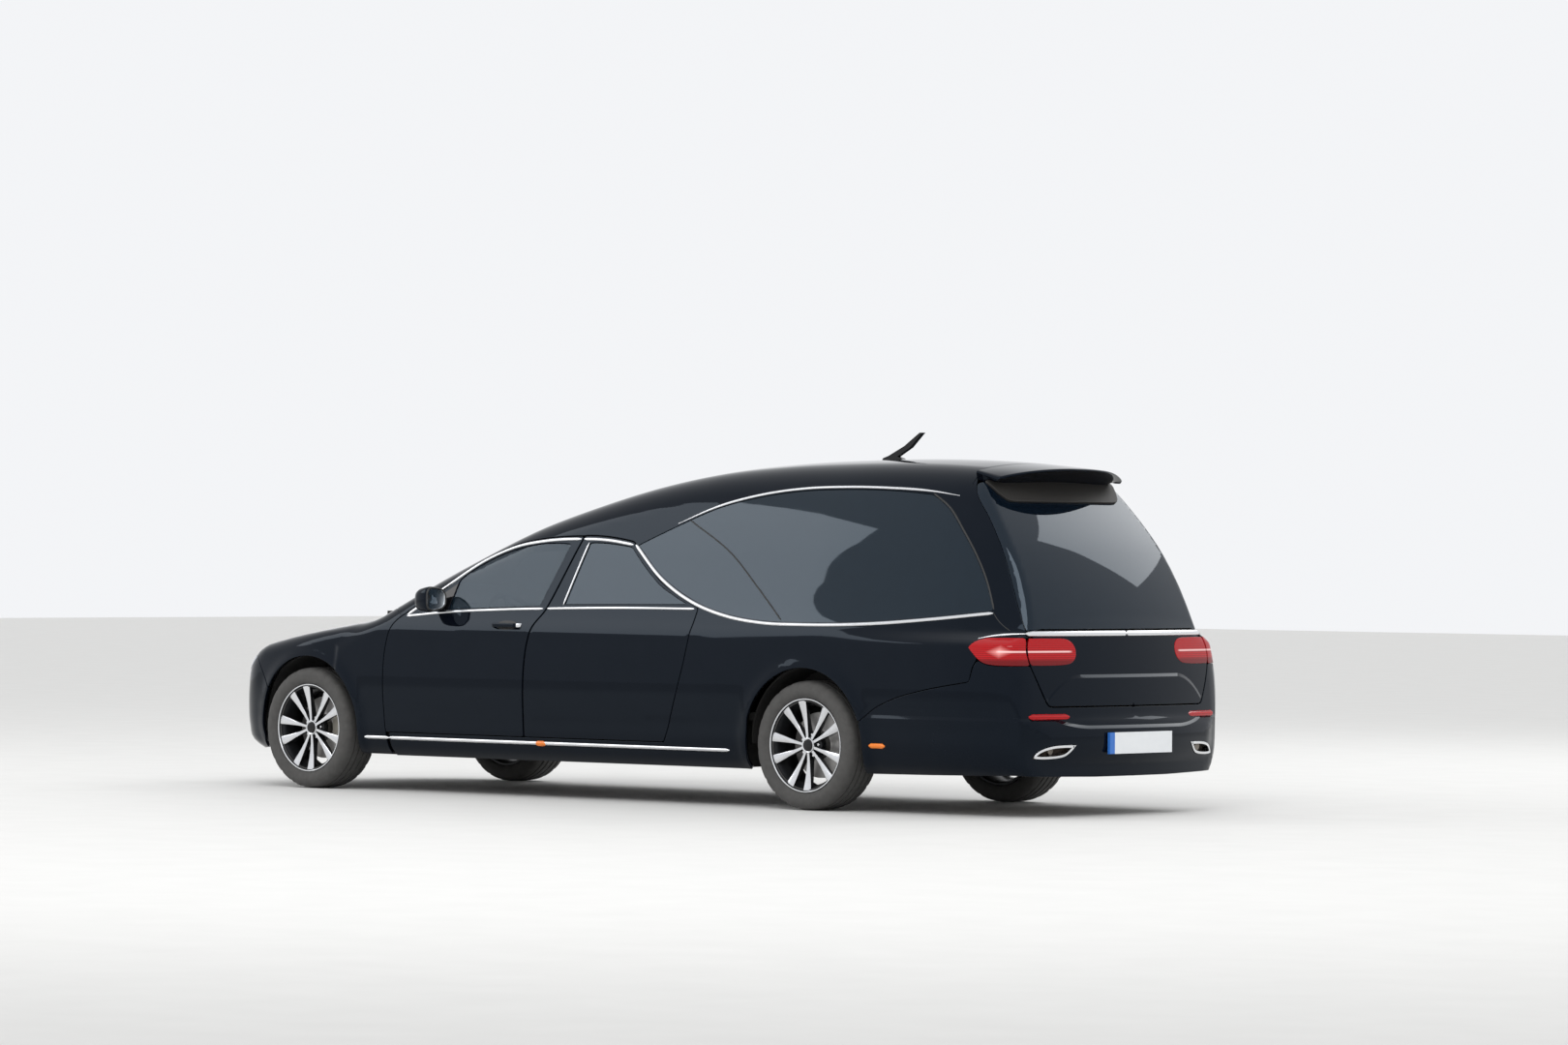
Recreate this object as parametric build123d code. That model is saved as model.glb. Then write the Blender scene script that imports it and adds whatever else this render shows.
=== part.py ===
from build123d import *
import math
import os

# A hearse on an estate-car base: long wheelbase, four doors, raised coachbuilt roof, a lens-shaped
# window each side of the load space and a large top-hinged rear gate.
# Millimetres. +X forward, +Y to the car's left, +Z up. The origin is on the ground, at mid length.
# A distance called s is measured back from the front axle, as the tables below give it.

os.makedirs("parts", exist_ok=True)

# Overall
WHEELBASE = 3690
FRONT_OVERHANG = 842
REAR_OVERHANG = 1500
LENGTH = FRONT_OVERHANG + WHEELBASE + REAR_OVERHANG
HALF_WIDTH = 926
ROOF_HEIGHT = 1845
FRONT_AXLE = LENGTH / 2 - FRONT_OVERHANG

# Wheels
RIM_SEAT_RADIUS = 228
RIM_WIDTH = 210
HALF_TRACK = 802
WHEEL_Z = 339
HUB_RADIUS = 74
HUB_FACE_IN = 12
SPOKE_PAIRS = 5
SPOKE_WIDTH = 26
SPOKE_FACE_IN = 22
SPOKE_START = 40
SPOKE_APART = 14
SPOKE_LEAN = 6
SPOKE_DEPTH = 34
DISC_RADIUS = 172
DISC_THICK = 24
DISC_FACE_IN = 14
ARCH_RADIUS = 405
FRONT_HOUSE_INNER = 460
REAR_HOUSE_INNER = 640
HOUSE_WALL = 12
HOUSE_GAP = 4

# Steering and suspension. The kingpin leans in, and the strut above it lies on the same line.
KINGPIN_LOW_Y = 735
KINGPIN_LOW_Z = 200
KINGPIN_TOP_Y = 600
KINGPIN_TOP_Z = 840
POST_RADIUS = 22
KNUCKLE_LOW_Z = 215
KNUCKLE_TOP_Z = 560
SPRING_RADIUS = 55
SPRING_LOW_Z = 715
TOWER_RADIUS = 80
TOWER_WALL = 6
CARRIER_RADIUS = 58
ARM_THICK = 16
SUBFRAME_HALF = 420
SUBFRAME_RAIL = 60

# Body walls
FLOOR_BOTTOM = 200
FLOOR_THICK = 50
REAR_FLOOR_Z = 500
KICK_UP_S = 3000
WALL_LOW = 60
WALL_HIGH = 40
SILL_TOP = 326
SILL_THICK = 160
BELT_Z = 1010
DOOR_THICK = 105
DOOR_SKIN = 30
DOOR_STEP = 14
FRAME_THICK = 36
ROOF_THICK = 36
PANEL_THICK = 32
GLASS_SET = 5
GLASS_THICK = 5
SCREEN_WALL = 30
GATE_WALL = 75
PILLAR_EDGE = 50
DOOR_GAP = 6
PANEL_GAP = 5
SEAT = 0.3
ROOF_SEAM_Y = 500
TUNNEL_HALF = 150
TUNNEL_TOP = 380
FIREWALL_S = 480
CABIN_END_S = 4940
PARTITION_S = 2895
PARTITION_THICK = 30
DECK_TOP = 720
DECK_THICK = 30


def at(s):
    """The X of a point that lies s behind the front axle."""
    return FRONT_AXLE - s


SPECK = 1000


def save(name, *shapes):
    """Writes one node's solids and gives them back as one shape. What is smaller than a speck is left out."""
    solids = [solid for shape in shapes for solid in shape.solids() if solid.volume > SPECK]
    whole = Compound(children=solids) if len(solids) > 1 else solids[0]
    export_step(whole, "parts/" + name + ".step")
    return whole


def face_of(points):
    """A flat face on XY. A plain pair is a corner, and (via, end) adds an arc through via."""
    edges = []
    here = points[0]
    for item in points[1:]:
        if isinstance(item[0], tuple):
            edges.append(ThreePointArc(here, item[0], item[1]))
            here = item[1]
        else:
            edges.append(Line(here, item))
            here = item
    if here != points[0]:
        edges.append(Line(here, points[0]))
    return make_face(edges)


def back_from_axle(item):
    """(s, z), or (via, end), as X and Z."""
    if isinstance(item[0], tuple):
        return tuple((at(s), z) for s, z in item)
    return (at(item[0]), item[1])


def side_prism(points, grow=0, y_low=0, y_high=1200):
    """A side-view outline of (s, z) points, grown by a gap and pulled across the car."""
    flat = face_of([back_from_axle(item) for item in points])
    if grow:
        flat = offset(flat, grow, kind=Kind.INTERSECTION)
    face = Plane(origin=(0, y_low, 0), x_dir=(1, 0, 0), z_dir=(0, -1, 0)) * flat
    return Solid.extrude(face.faces()[0], Vector(0, y_high - y_low, 0))


def plan_prism(points, z_low, z_high):
    """A plan outline of (s, y) points, pulled upwards."""
    face = Pos(0, 0, z_low) * face_of([back_from_axle(item) for item in points])
    return Solid.extrude(face.faces()[0], Vector(0, 0, z_high - z_low))


def block(s_low, s_high, y_low, y_high, z_low, z_high):
    """A block between two corners."""
    size = (s_high - s_low, y_high - y_low, z_high - z_low)
    return Pos(at(s_low) - size[0] / 2, y_low + size[1] / 2, z_low + size[2] / 2) * Box(*size)


def bar_across(s, z, radius, y_low, y_high):
    """A round bar across the car."""
    return Pos(at(s), (y_low + y_high) / 2, z) * Rot(90, 0, 0) * Cylinder(radius, y_high - y_low)


def bar_between(start, end, radius):
    """A round bar between two points."""
    path = Vector(*end) - Vector(*start)
    plane = Plane(origin=start, z_dir=path)
    return plane * Cylinder(radius, path.length, align=(Align.CENTER, Align.CENTER, Align.MIN))


def mirrored(shape):
    """The same piece on the other side of the car."""
    return mirror(shape, Plane.XZ)


# Skin in cross-section, from the sill up. Columns: y and z of a point on the arc, then of its end.
SILL_Y = 830
SILL_BOTTOM = 195
LOW_ARCS = (
    ((876, 232), (901, 300)),
    ((HALF_WIDTH, 600), (912, 855)),
    ((897, 940), (868, BELT_Z)),
)
HIGH_ARCS = (((738, 1400), (600, 1700)),)
SHOULDER = (470, 1860)
# The sides draw in towards the back, above the waist. Columns: s, how far.
DRAW_IN_ABOVE = 900
DRAW_IN = ((-1400, 0), (3600, 0), (4100, 14), (4500, 45), (4800, 79), (5400, 165))


def side_wires(s, draw, low, high, bottom):
    """One cross-section between the walls, inset by low below the belt and by high above it."""
    def moved(point, inset):
        y, z = point
        return (y - inset - (draw if z > DRAW_IN_ABOVE else 0), z)

    base = max(SILL_BOTTOM, bottom)
    points = [(SILL_Y - low, base)]
    kinds = []
    for via, end in LOW_ARCS:
        kinds.append((moved(via, low), moved(end, low)))
    ledge = moved(LOW_ARCS[-1][1], high)
    left = [points[0]]
    edges = []
    here = points[0]
    for via, end in kinds:
        edges.append((here, (via[0], max(via[1], base + 1)), (end[0], max(end[1], base + 2))))
        here = edges[-1][2]
    if abs(ledge[0] - here[0]) > 0.01:
        edges.append((here, None, ledge))
        here = ledge
    for via, end in HIGH_ARCS:
        edges.append((here, moved(via, high), moved(end, high)))
        here = edges[-1][2]
    edges.append((here, None, moved(SHOULDER, high)))
    x = at(s)
    made = []
    for sign in (1, -1):
        for start, via, end in edges:
            a = (x, sign * start[0], start[1])
            b = (x, sign * end[0], end[1])
            if via is None:
                made.append(Edge.make_line(a, b))
            else:
                made.append(Edge.make_three_point_arc(a, (x, sign * via[0], via[1]), b))
    top = edges[-1][2]
    made.append(Edge.make_line((x, left[0][0], base), (x, -left[0][0], base)))
    made.append(Edge.make_line((x, top[0], top[1]), (x, -top[0], top[1])))
    return Wire(made)


def side_space(low, high, bottom=SILL_BOTTOM):
    """The space between the two side walls, for the whole length."""
    return Solid.make_loft([side_wires(s, draw, low, high, bottom) for s, draw in DRAW_IN], ruled=True)


# Roof centre line. Columns: s, height. The roof falls by ROOF_DROP at ROOF_ARC_Y from the centre.
ROOF_ARC_Y = 960
ROOF_DROP = 150
ROOF_LINE = (
    (200, 1100),
    (1111, 1388),
    (1544, 1536),
    (1862, 1625),
    (2309, 1732),
    (2720, 1799),
    (3126, 1828),
    (3916, ROOF_HEIGHT),
    (4303, 1832),
    (4512, 1818),
    (4800, 1790),
    (5400, 1710),
)
# Bonnet centre line, in the same way.
BONNET_DROP = 95
BONNET_LINE = (
    (-1100, 640),
    (-842, 735),
    (-620, 815),
    (-250, 905),
    (150, 972),
    (700, 1040),
)


def under_arcs(table, drop, sink):
    """The space under a surface that is lofted through arcs across the car."""
    wires = []
    for s, z in table:
        x = at(s)
        top = z - sink
        side = top - drop
        wires.append(Wire([
            Edge.make_three_point_arc((x, -ROOF_ARC_Y, side), (x, 0, top), (x, ROOF_ARC_Y, side)),
            Edge.make_line((x, ROOF_ARC_Y, side), (x, ROOF_ARC_Y, 100)),
            Edge.make_line((x, ROOF_ARC_Y, 100), (x, -ROOF_ARC_Y, 100)),
            Edge.make_line((x, -ROOF_ARC_Y, 100), (x, -ROOF_ARC_Y, side)),
        ]))
    return Solid.make_loft(wires, ruled=True)


# Windscreen: an arc in plan at the belt, pulled back and up along its slope.
SCREEN_FOOT_S = 350
SCREEN_SIDE_S = 560
SCREEN_RUN = 770
SCREEN_RISE = 375
SCREEN_ARC_Y = 780
SCREEN_REACH = 900


def behind_screen(inset):
    """The space behind the windscreen's face."""
    slope = math.hypot(SCREEN_RUN, SCREEN_RISE)
    x = at(SCREEN_FOOT_S) - SCREEN_RISE / slope * inset
    z = BELT_Z - SCREEN_RUN / slope * inset
    lead = SCREEN_RUN / SCREEN_RISE
    down = z - SILL_BOTTOM
    x += lead * down
    sag = (SCREEN_SIDE_S - SCREEN_FOOT_S) * 4
    wide = SCREEN_ARC_Y * 2
    far = x - 3 * LENGTH
    face = Pos(0, 0, z - down) * face_of([
        (x - sag, -wide), ((x, 0), (x - sag, wide)), (far, wide), (far, -wide),
    ])
    rise = down + SCREEN_REACH
    return Solid.extrude(face.faces()[0], Vector(-lead * rise, 0, rise))


# Rear face: arcs in plan, stacked. Columns: z, s at the centre.
GATE_LINE = ((100, 5140), (560, 5140), (850, 5106), (1020, 5064), (1364, 4896), (1670, 4650), (1950, 4400))
GATE_SAG = 72
GATE_ARC_Y = 760


def before_gate(inset):
    """The space ahead of the rear face, which moves forward by inset."""
    wires = []
    wide = GATE_ARC_Y * 2
    for z, s in GATE_LINE:
        x = at(s) + inset
        side = x + GATE_SAG * 4
        far = x + 2 * LENGTH
        wires.append(Wire([
            Edge.make_three_point_arc((side, -wide, z), (x, 0, z), (side, wide, z)),
            Edge.make_line((side, wide, z), (far, wide, z)),
            Edge.make_line((far, wide, z), (far, -wide, z)),
            Edge.make_line((far, -wide, z), (side, -wide, z)),
        ]))
    return Solid.make_loft(wires, ruled=True)


# Plan of the two ends. Columns: s and y of a point on the arc, then of its end.
NOSE_PLAN = (((-805, 330), (-700, 590)), ((-560, 790), (-330, 885)), ((-120, 917), (100, HALF_WIDTH + 4)))
TAIL_PLAN = (((4600, 921), (4860, 890)), ((5030, 835), (5105, 690)), ((5172, 350), (5190, 0)))


def within_plan(inset):
    """The space inside the plan of nose and tail."""
    half = [(at(-FRONT_OVERHANG) - inset, 0)]
    for (via_s, via_y), (end_s, end_y) in NOSE_PLAN:
        half.append(((at(via_s) - inset, via_y - inset), (at(end_s) - inset, end_y - inset)))
    half.append((at(4300) + inset, NOSE_PLAN[-1][1][1] - inset))
    for (via_s, via_y), (end_s, end_y) in TAIL_PLAN:
        half.append(((at(via_s) + inset, via_y - inset), (at(end_s) + inset, max(end_y - inset, 0))))
    left = face_of(half)
    face = left + mirror(left, Plane.XZ)
    return Solid.extrude((Pos(0, 0, 50) * face).faces()[0], Vector(0, 0, 2000))


# Side view of the two ends. Columns: s, z.
NOSE_SIDE = ((-640, 195), (-800, 230), (-842, 340), (-842, 560), (-815, 690), (-760, 780), (-600, 2000))
BUMPER_SIDE = ((4000, 195), (4500, 225), (5000, 252), (5140, 272), (5184, 350), (5190, 520), (5160, 562), (4000, 562))

body_out = (side_space(0, 0) & under_arcs(ROOF_LINE, ROOF_DROP, 0) & behind_screen(0)
            & before_gate(0) & within_plan(0))
body_in = (side_space(WALL_LOW, WALL_HIGH, 150) & under_arcs(ROOF_LINE, ROOF_DROP, ROOF_THICK)
           & behind_screen(SCREEN_WALL) & before_gate(GATE_WALL) & within_plan(WALL_LOW))
nose_out = (side_space(0, 0) & within_plan(0) & under_arcs(BONNET_LINE, BONNET_DROP, 0)
            & side_prism(NOSE_SIDE + ((700, 2000), (700, 195)), y_low=-1200))
nose_in = (side_space(PANEL_THICK, PANEL_THICK, 150) & within_plan(PANEL_THICK)
           & under_arcs(BONNET_LINE, BONNET_DROP, PANEL_THICK))
LEFT = block(-1500, 6000, 0, 1300, 0, 2200)
nose_shell = nose_out - nose_in
side_shell = (body_out - body_in) & LEFT

# Side-view outlines. Columns: s, z.
FRONT_DOOR = (
    (622, 332), (612, 700), (640, 900), (728, 986), (984, 1147), (1253, 1311), (1446, 1377), (1649, 1409),
    (1938, 1422), (1922, 1380), (1782, 1030), (1712, 930), (1683, 800), (1671, 400), (1672, 332),
)
REAR_DOOR = (
    (1682, 332), (1681, 400), (1693, 800), (1722, 930), (1792, 1030), (1932, 1380), (1948, 1424),
    (2120, 1419), (2320, 1392), (2560, 1194), (2700, 1122), (2884, 1046), (2884, 1026), (2874, 934),
    (2839, 728), (2738, 417), (2700, 332),
)
# The front glass starts behind the sail panel that carries the mirror.
FRONT_DOOR_GLASS = (
    (1052, 1018), (1088, 1178), (1255, 1281), (1450, 1347), (1650, 1380), (1856, 1379), (1728, 1045),
)
REAR_DOOR_GLASS = (
    (1913, 1056), (1998, 1386), (2130, 1384), (2312, 1364), (2552, 1178), (2700, 1105), (2800, 1066),
)
LOAD_WINDOW = (
    (2352, 1374), (2606, 1482), ((3560, 1676), (4270, 1652)), ((4640, 1360), (4810, 1056)),
    ((4280, 996), (3652, 980)), ((2840, 1088), (2352, 1374)),
)
GATE_EDGE = (
    (4512, 1900), (4512, 1760), (4556, 1670), (4684, 1525), (4800, 1364), (4885, 1200), (4970, 1020),
    (5020, 935), (5036, 900), (5500, 900), (5500, 1900),
)
REAR_BUMPER_EDGE = ((4020, 150), (4078, 470), (4300, 590), (4790, 690), (4812, 770), (5400, 770), (5400, 150))
TAIL_LAMP = ((4785, 865), (4830, 782), (5300, 782), (5300, 894), (4880, 894))
# Rear view of the gate below the waist. Columns: y, z.
GATE_LOW = ((0, 562), (642, 562), (765, 850), (765, 905), (0, 905))
GATE_LAMP = ((407, 839), (470, 790), (738, 782), (765, 850), (765, 894), (450, 894))
GATE_GLASS = ((0, 950), (690, 958), ((600, 1360), (470, 1636)), (0, 1655))


def rear_prism(points, grow=0):
    """A rear-view outline of (y, z) points on both sides, pulled along the back of the car."""
    half = face_of(points)
    face = half + mirror(half, Plane.YZ)
    if grow:
        face = offset(face, grow, kind=Kind.INTERSECTION)
    placed = Plane(origin=(at(5400), 0, 0), x_dir=(0, 1, 0), z_dir=(1, 0, 0)) * face
    return [Solid.extrude(one, Vector(1000, 0, 0)) for one in placed.faces()]


def arch_cut(s, radius=ARCH_RADIUS):
    """The wheel opening."""
    return bar_across(s, WHEEL_Z, radius, -1200, 1200)


# Front panels
BONNET_REAR_S = 342
BONNET_REAR_Y = 772
BONNET_PLAN = (
    (-1000, 0), (-1000, 640), (-620, 690), (-300, 735), (190, BONNET_REAR_Y), (BONNET_REAR_S, BONNET_REAR_Y),
    (BONNET_REAR_S, 0),
)
BONNET_LOW_Z = 700
GRILLE_SIDE = ((-1000, 470), (-1000, 688), (-680, 688), (-680, 470))
GRILLE_HALF = 430
GRILLE_THICK = 26
HEADLAMP_PLAN = ((-1000, 470), (-1000, 1000), (-470, 1000), (-560, 760), (-640, 600), (-700, 470))
HEADLAMP_LOW_Z = 585
HEADLAMP_TOP_Z = 742
WING_EDGE_S = -425

bonnet_zone = plan_prism(BONNET_PLAN, BONNET_LOW_Z, 1300)
bonnet_zone += mirrored(bonnet_zone)
bonnet_cut = plan_prism(
    [(s, y + PANEL_GAP if y else 0) for s, y in BONNET_PLAN[:-2]]
    + [(BONNET_REAR_S + 58, BONNET_REAR_Y + PANEL_GAP), (BONNET_REAR_S + 58, 0)],
    BONNET_LOW_Z - PANEL_GAP, 1300)
bonnet_cut += mirrored(bonnet_cut)
bonnet = save("bonnet", nose_shell & bonnet_zone)

lamp_zone = plan_prism(HEADLAMP_PLAN, HEADLAMP_LOW_Z, HEADLAMP_TOP_Z)
LAMP_DEPTH = 110
lamp_in = within_plan(LAMP_DEPTH)
lamp_left = (nose_out & lamp_zone) - lamp_in - bonnet_cut
save("headlamps", lamp_left, mirrored(lamp_left))
lamp_cut = plan_prism([(s, y) for s, y in HEADLAMP_PLAN], HEADLAMP_LOW_Z - SEAT, HEADLAMP_TOP_Z + SEAT)
lamp_cut += mirrored(lamp_cut)

grille_zone = side_prism(GRILLE_SIDE, 0, -GRILLE_HALF, GRILLE_HALF)
grille = (nose_out - within_plan(GRILLE_THICK)) & grille_zone
save("grille", grille)

bumper_zone = block(-1000, WING_EDGE_S, -1200, 1200, 150, BONNET_LOW_Z + 60)
front_bumper = (nose_shell & bumper_zone) - bonnet_cut - arch_cut(0)
front_bumper -= side_prism(GRILLE_SIDE, SEAT, -GRILLE_HALF - SEAT, GRILLE_HALF + SEAT)
front_bumper -= Compound(children=[*lamp_cut.solids()])
save("front_bumper", front_bumper)

WING_REAR_S = 605
WING_LOW_Z = 200
wing_zone = block(WING_EDGE_S + PANEL_GAP, WING_REAR_S, 0, 1200, WING_LOW_Z, 1100)
wing = (nose_shell & wing_zone) - bonnet_cut - arch_cut(0) - lamp_cut
wing -= side_prism(FRONT_DOOR, DOOR_GAP)
wing -= block(342, 700, 0, 690, 900, 1200)
wing -= side_space(PANEL_THICK, PANEL_THICK, 150) & block(522, 700, 0, 1200, 300, 1200)
save("front_wings", wing, mirrored(wing))

# Front door handle: its lowest and highest s, y and z.
HANDLE = (1412, 1637, 880, 936, 922, 948)

# Doors and their glass. Each door steps in behind its skin, so that it swings clear of the jamb.
skin_in = side_space(DOOR_SKIN, DOOR_SKIN, 150)
door_in = side_space(DOOR_THICK, FRAME_THICK, 150)
glass_band = side_space(GLASS_SET, GLASS_SET, 150) - side_space(GLASS_SET + GLASS_THICK, GLASS_SET + GLASS_THICK, 150)
left_out = body_out & LEFT
for place, outline, pane in (("front", FRONT_DOOR, FRONT_DOOR_GLASS), ("rear", REAR_DOOR, REAR_DOOR_GLASS)):
    skin = (left_out - skin_in) & side_prism(outline)
    core = ((left_out & skin_in) - door_in) & side_prism(outline, -DOOR_STEP)
    door = (skin + core) - side_prism(pane)
    if place == "front":
        door += block(*HANDLE)
    glass = (glass_band & side_prism(pane, -SEAT)) & LEFT
    save("door_" + place + "_left", door)
    save("door_" + place + "_right", mirrored(door))
    save("door_" + place + "_left_glass", glass)
    save("door_" + place + "_right_glass", mirrored(glass))

ROOF_FRONT_S = 900

# Side panels: sill, pillars, arch over the doors, quarter and the frame of the load window
B_PILLAR = (
    (1630, 300), (1650, 900), (1740, 1080), (1860, 1450), (1990, 1450), (1860, 1040), (1770, 900), (1760, 300),
)
HINGE_PILLAR = ((524, 252), (524, 1003), (605, 1003), (605, 252))
wide_in = side_space(SILL_THICK, SILL_THICK, 150)
pillar_in = side_space(DOOR_THICK + 45, DOOR_THICK + 45, 150)
pillar_out = side_space(DOOR_THICK + 6, FRAME_THICK + 6, 150)
side_panel = side_shell & block(340, 5300, 0, 1300, 195, 2000)
side_panel += (left_out - wide_in) & block(612, 3160, 0, 1300, 240, SILL_TOP)
doorway = side_prism(FRONT_DOOR, DOOR_GAP) + side_prism(REAR_DOOR, DOOR_GAP)
side_panel -= doorway & block(500, 3200, 0, 1300, SILL_TOP, 2000)
side_panel += ((left_out & pillar_out) - pillar_in) & side_prism(B_PILLAR)
side_panel += (left_out - pillar_in) & side_prism(B_PILLAR) & block(1600, 2100, 0, 1300, 1434, 1500)
side_panel += ((left_out & side_space(PANEL_THICK + 2, PANEL_THICK + 2, 150)) - door_in) & side_prism(HINGE_PILLAR)
HINGE_ZONES = ((450, 490), (750, 790))
for low, high in HINGE_ZONES:
    side_panel += block(600, 640, 835, 860, low, high) - side_prism(FRONT_DOOR, SEAT - DOOR_STEP)
    side_panel += block(1684, 1720, 770, 860, low, high) - side_prism(REAR_DOOR, SEAT - DOOR_STEP)
side_panel -= block(0, 611 - DOOR_GAP / 2, 0, 1300, 150, 1002) - (
    side_space(PANEL_THICK + 2, PANEL_THICK + 2, 150) & block(524, 640, 0, 1300, 252, 1003))
side_panel -= side_prism(LOAD_WINDOW)
side_panel -= arch_cut(WHEELBASE)
side_panel -= side_prism(GATE_EDGE, PANEL_GAP)
for low_gate in rear_prism(GATE_LOW, PANEL_GAP):
    side_panel -= low_gate
side_panel -= side_prism(REAR_BUMPER_EDGE, PANEL_GAP)
side_panel -= side_prism(TAIL_LAMP, SEAT)
side_panel -= block(ROOF_FRONT_S, 4512, 0, ROOF_SEAM_Y + PANEL_GAP, 1200, 2000)
screen_hole = side_space(PILLAR_EDGE, PILLAR_EDGE, 150) & under_arcs(ROOF_LINE, ROOF_DROP, PILLAR_EDGE)
side_panel -= screen_hole & block(0, 1160, 0, 1300, 900, 1500) & behind_screen(-20)
side_panel -= block(0, 1500, 0, 690, 150, 1150)
save("side_panels", side_panel, mirrored(side_panel))

load_glass = (glass_band & side_prism(LOAD_WINDOW, -SEAT)) & LEFT
save("load_windows", load_glass, mirrored(load_glass))

windscreen = behind_screen(GLASS_SET) - behind_screen(GLASS_SET + GLASS_THICK)
windscreen &= block(0, 1160, -1200, 1200, 1012, 1500)
windscreen &= side_space(PILLAR_EDGE + SEAT, PILLAR_EDGE + SEAT, 150)
windscreen &= under_arcs(ROOF_LINE, ROOF_DROP, PILLAR_EDGE + SEAT)
save("windscreen", windscreen)

roof = (body_out - body_in) & block(ROOF_FRONT_S, 4506, -ROOF_SEAM_Y, ROOF_SEAM_Y, 1200, 2000)
roof -= screen_hole & block(0, 1160, -1300, 1300, 900, 1500) & behind_screen(-20)
save("roof", max(roof.solids(), key=lambda one: one.volume))

# Rear gate, lamps and bumper
gate_zone = side_prism(GATE_EDGE, 0, -1200, 1200)
for low_gate in rear_prism(GATE_LOW):
    gate_zone += low_gate & block(4900, 5400, -1200, 1200, 500, 1000)
gate_in = side_space(WALL_HIGH, WALL_HIGH, 150) & before_gate(GATE_WALL)
gate_in &= under_arcs(ROOF_LINE, ROOF_DROP, ROOF_THICK)
gate = (body_out - gate_in) & gate_zone & block(4512, 5400, -1200, 1200, 500, 2000)
glass_zone = rear_prism(GATE_GLASS)
for hole in glass_zone:
    gate -= hole
lamp_slots = rear_prism(GATE_LAMP)
LAMP_THICK = 45
lamp_front = before_gate(LAMP_THICK)
gate_lamps = []
for hole in lamp_slots:
    gate -= hole - before_gate(LAMP_THICK + SEAT)
for hole in rear_prism(GATE_LAMP, -SEAT):
    gate_lamps += ((body_out & hole) - lamp_front).solids()
save("tailgate", max(gate.solids(), key=lambda one: one.volume))
save("gate_lamps", *gate_lamps)
gate_glass = before_gate(GLASS_SET) - before_gate(GLASS_SET + GLASS_THICK)
gate_glass = [gate_glass & hole for hole in rear_prism(GATE_GLASS, -SEAT)]
save("gate_glass", *gate_glass)
LAMP_WALL = 50
lamp_room = side_space(LAMP_WALL, LAMP_WALL, 150) & before_gate(LAMP_THICK) & within_plan(LAMP_WALL)
tail_lamp = (left_out & side_prism(TAIL_LAMP)) - lamp_room
for low_gate in rear_prism(GATE_LOW, PANEL_GAP):
    tail_lamp -= low_gate
tail_lamp -= side_prism(GATE_EDGE, PANEL_GAP)
save("tail_lamps", tail_lamp, mirrored(tail_lamp))

bumper_low = side_space(0, 0) & within_plan(0) & side_prism(BUMPER_SIDE, 0, -1200, 1200)
bumper_room = side_space(PANEL_THICK, PANEL_THICK, 150) & within_plan(PANEL_THICK)
bumper_low -= bumper_room & block(3900, 5400, -1200, 1200, 100, 530)
bumper_low -= bumper_room & before_gate(PANEL_THICK) & block(3900, 5400, -1200, 1200, 500, 600)
bumper_high = (body_out & block(4000, 5400, -1200, 1200, 530, 782)) - (
    side_space(PANEL_THICK, PANEL_THICK, 150) & before_gate(PANEL_THICK) & within_plan(PANEL_THICK))
rear_bumper = (bumper_low + bumper_high) & side_prism(REAR_BUMPER_EDGE, 0, -1200, 1200)
for low_gate in rear_prism(GATE_LOW, PANEL_GAP):
    rear_bumper -= low_gate
rear_bumper -= side_prism(TAIL_LAMP, SEAT, -1200, 1200)
rear_bumper -= arch_cut(WHEELBASE)

# Spoiler over the rear glass, with the ends of its trailing edge further forward than the middle
SPOILER_HALF = 520
SPOILER_TIP_S = 4655
SPOILER_END_S = 4800
SPOILER_THICK = 52
spoiler = under_arcs(ROOF_LINE, ROOF_DROP, 0) - under_arcs(ROOF_LINE, ROOF_DROP, SPOILER_THICK)
spoiler &= plan_prism(((4514, -SPOILER_HALF), (4514, SPOILER_HALF), (SPOILER_TIP_S, SPOILER_HALF),
                       ((SPOILER_END_S, 0), (SPOILER_TIP_S, -SPOILER_HALF))), 1500, 2000)
spoiler -= body_out
save("spoiler", max(spoiler.solids(), key=lambda one: one.volume))

# Floor: low pan with its tunnel, kick-up, rear floor, firewall, rails, wheel houses and strut towers
KICK_THICK = 40
COWL_LOW_Z = 940
COWL_TOP_Z = 1000
RAIL_INNER = 395
RAIL_LOW_Z = 420
RAIL_TOP_Z = 520
RAIL_FRONT_S = -720
LAMP_PANEL_S = -690
floor_space = side_space(SILL_THICK + SEAT, SILL_THICK + SEAT, 150)
shell_space = side_space(WALL_LOW + SEAT, WALL_HIGH + SEAT, 150) & before_gate(GATE_WALL + SEAT)
shell_space &= within_plan(WALL_LOW + SEAT)
floor_top = FLOOR_BOTTOM + FLOOR_THICK
floor = floor_space & block(FIREWALL_S, KICK_UP_S, -900, 900, FLOOR_BOTTOM, floor_top)
floor += block(FIREWALL_S, KICK_UP_S, -TUNNEL_HALF - FLOOR_THICK, TUNNEL_HALF + FLOOR_THICK, FLOOR_BOTTOM,
               TUNNEL_TOP + FLOOR_THICK)
floor += shell_space & block(KICK_UP_S, KICK_UP_S + KICK_THICK, -660, 660, FLOOR_BOTTOM, REAR_FLOOR_Z)
floor -= block(FIREWALL_S - 10, KICK_UP_S + KICK_THICK + 10, -TUNNEL_HALF, TUNNEL_HALF, 0, TUNNEL_TOP)
floor += shell_space & block(KICK_UP_S, CABIN_END_S, -900, 900, REAR_FLOOR_Z - KICK_THICK, REAR_FLOOR_Z)
COWL_HALF = 689
floor += block(FIREWALL_S, FIREWALL_S + KICK_THICK, -COWL_HALF, COWL_HALF, FLOOR_BOTTOM, COWL_TOP_Z - 20)
floor -= block(FIREWALL_S - 10, FIREWALL_S + 60, -TUNNEL_HALF, TUNNEL_HALF, 0, TUNNEL_TOP)
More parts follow.
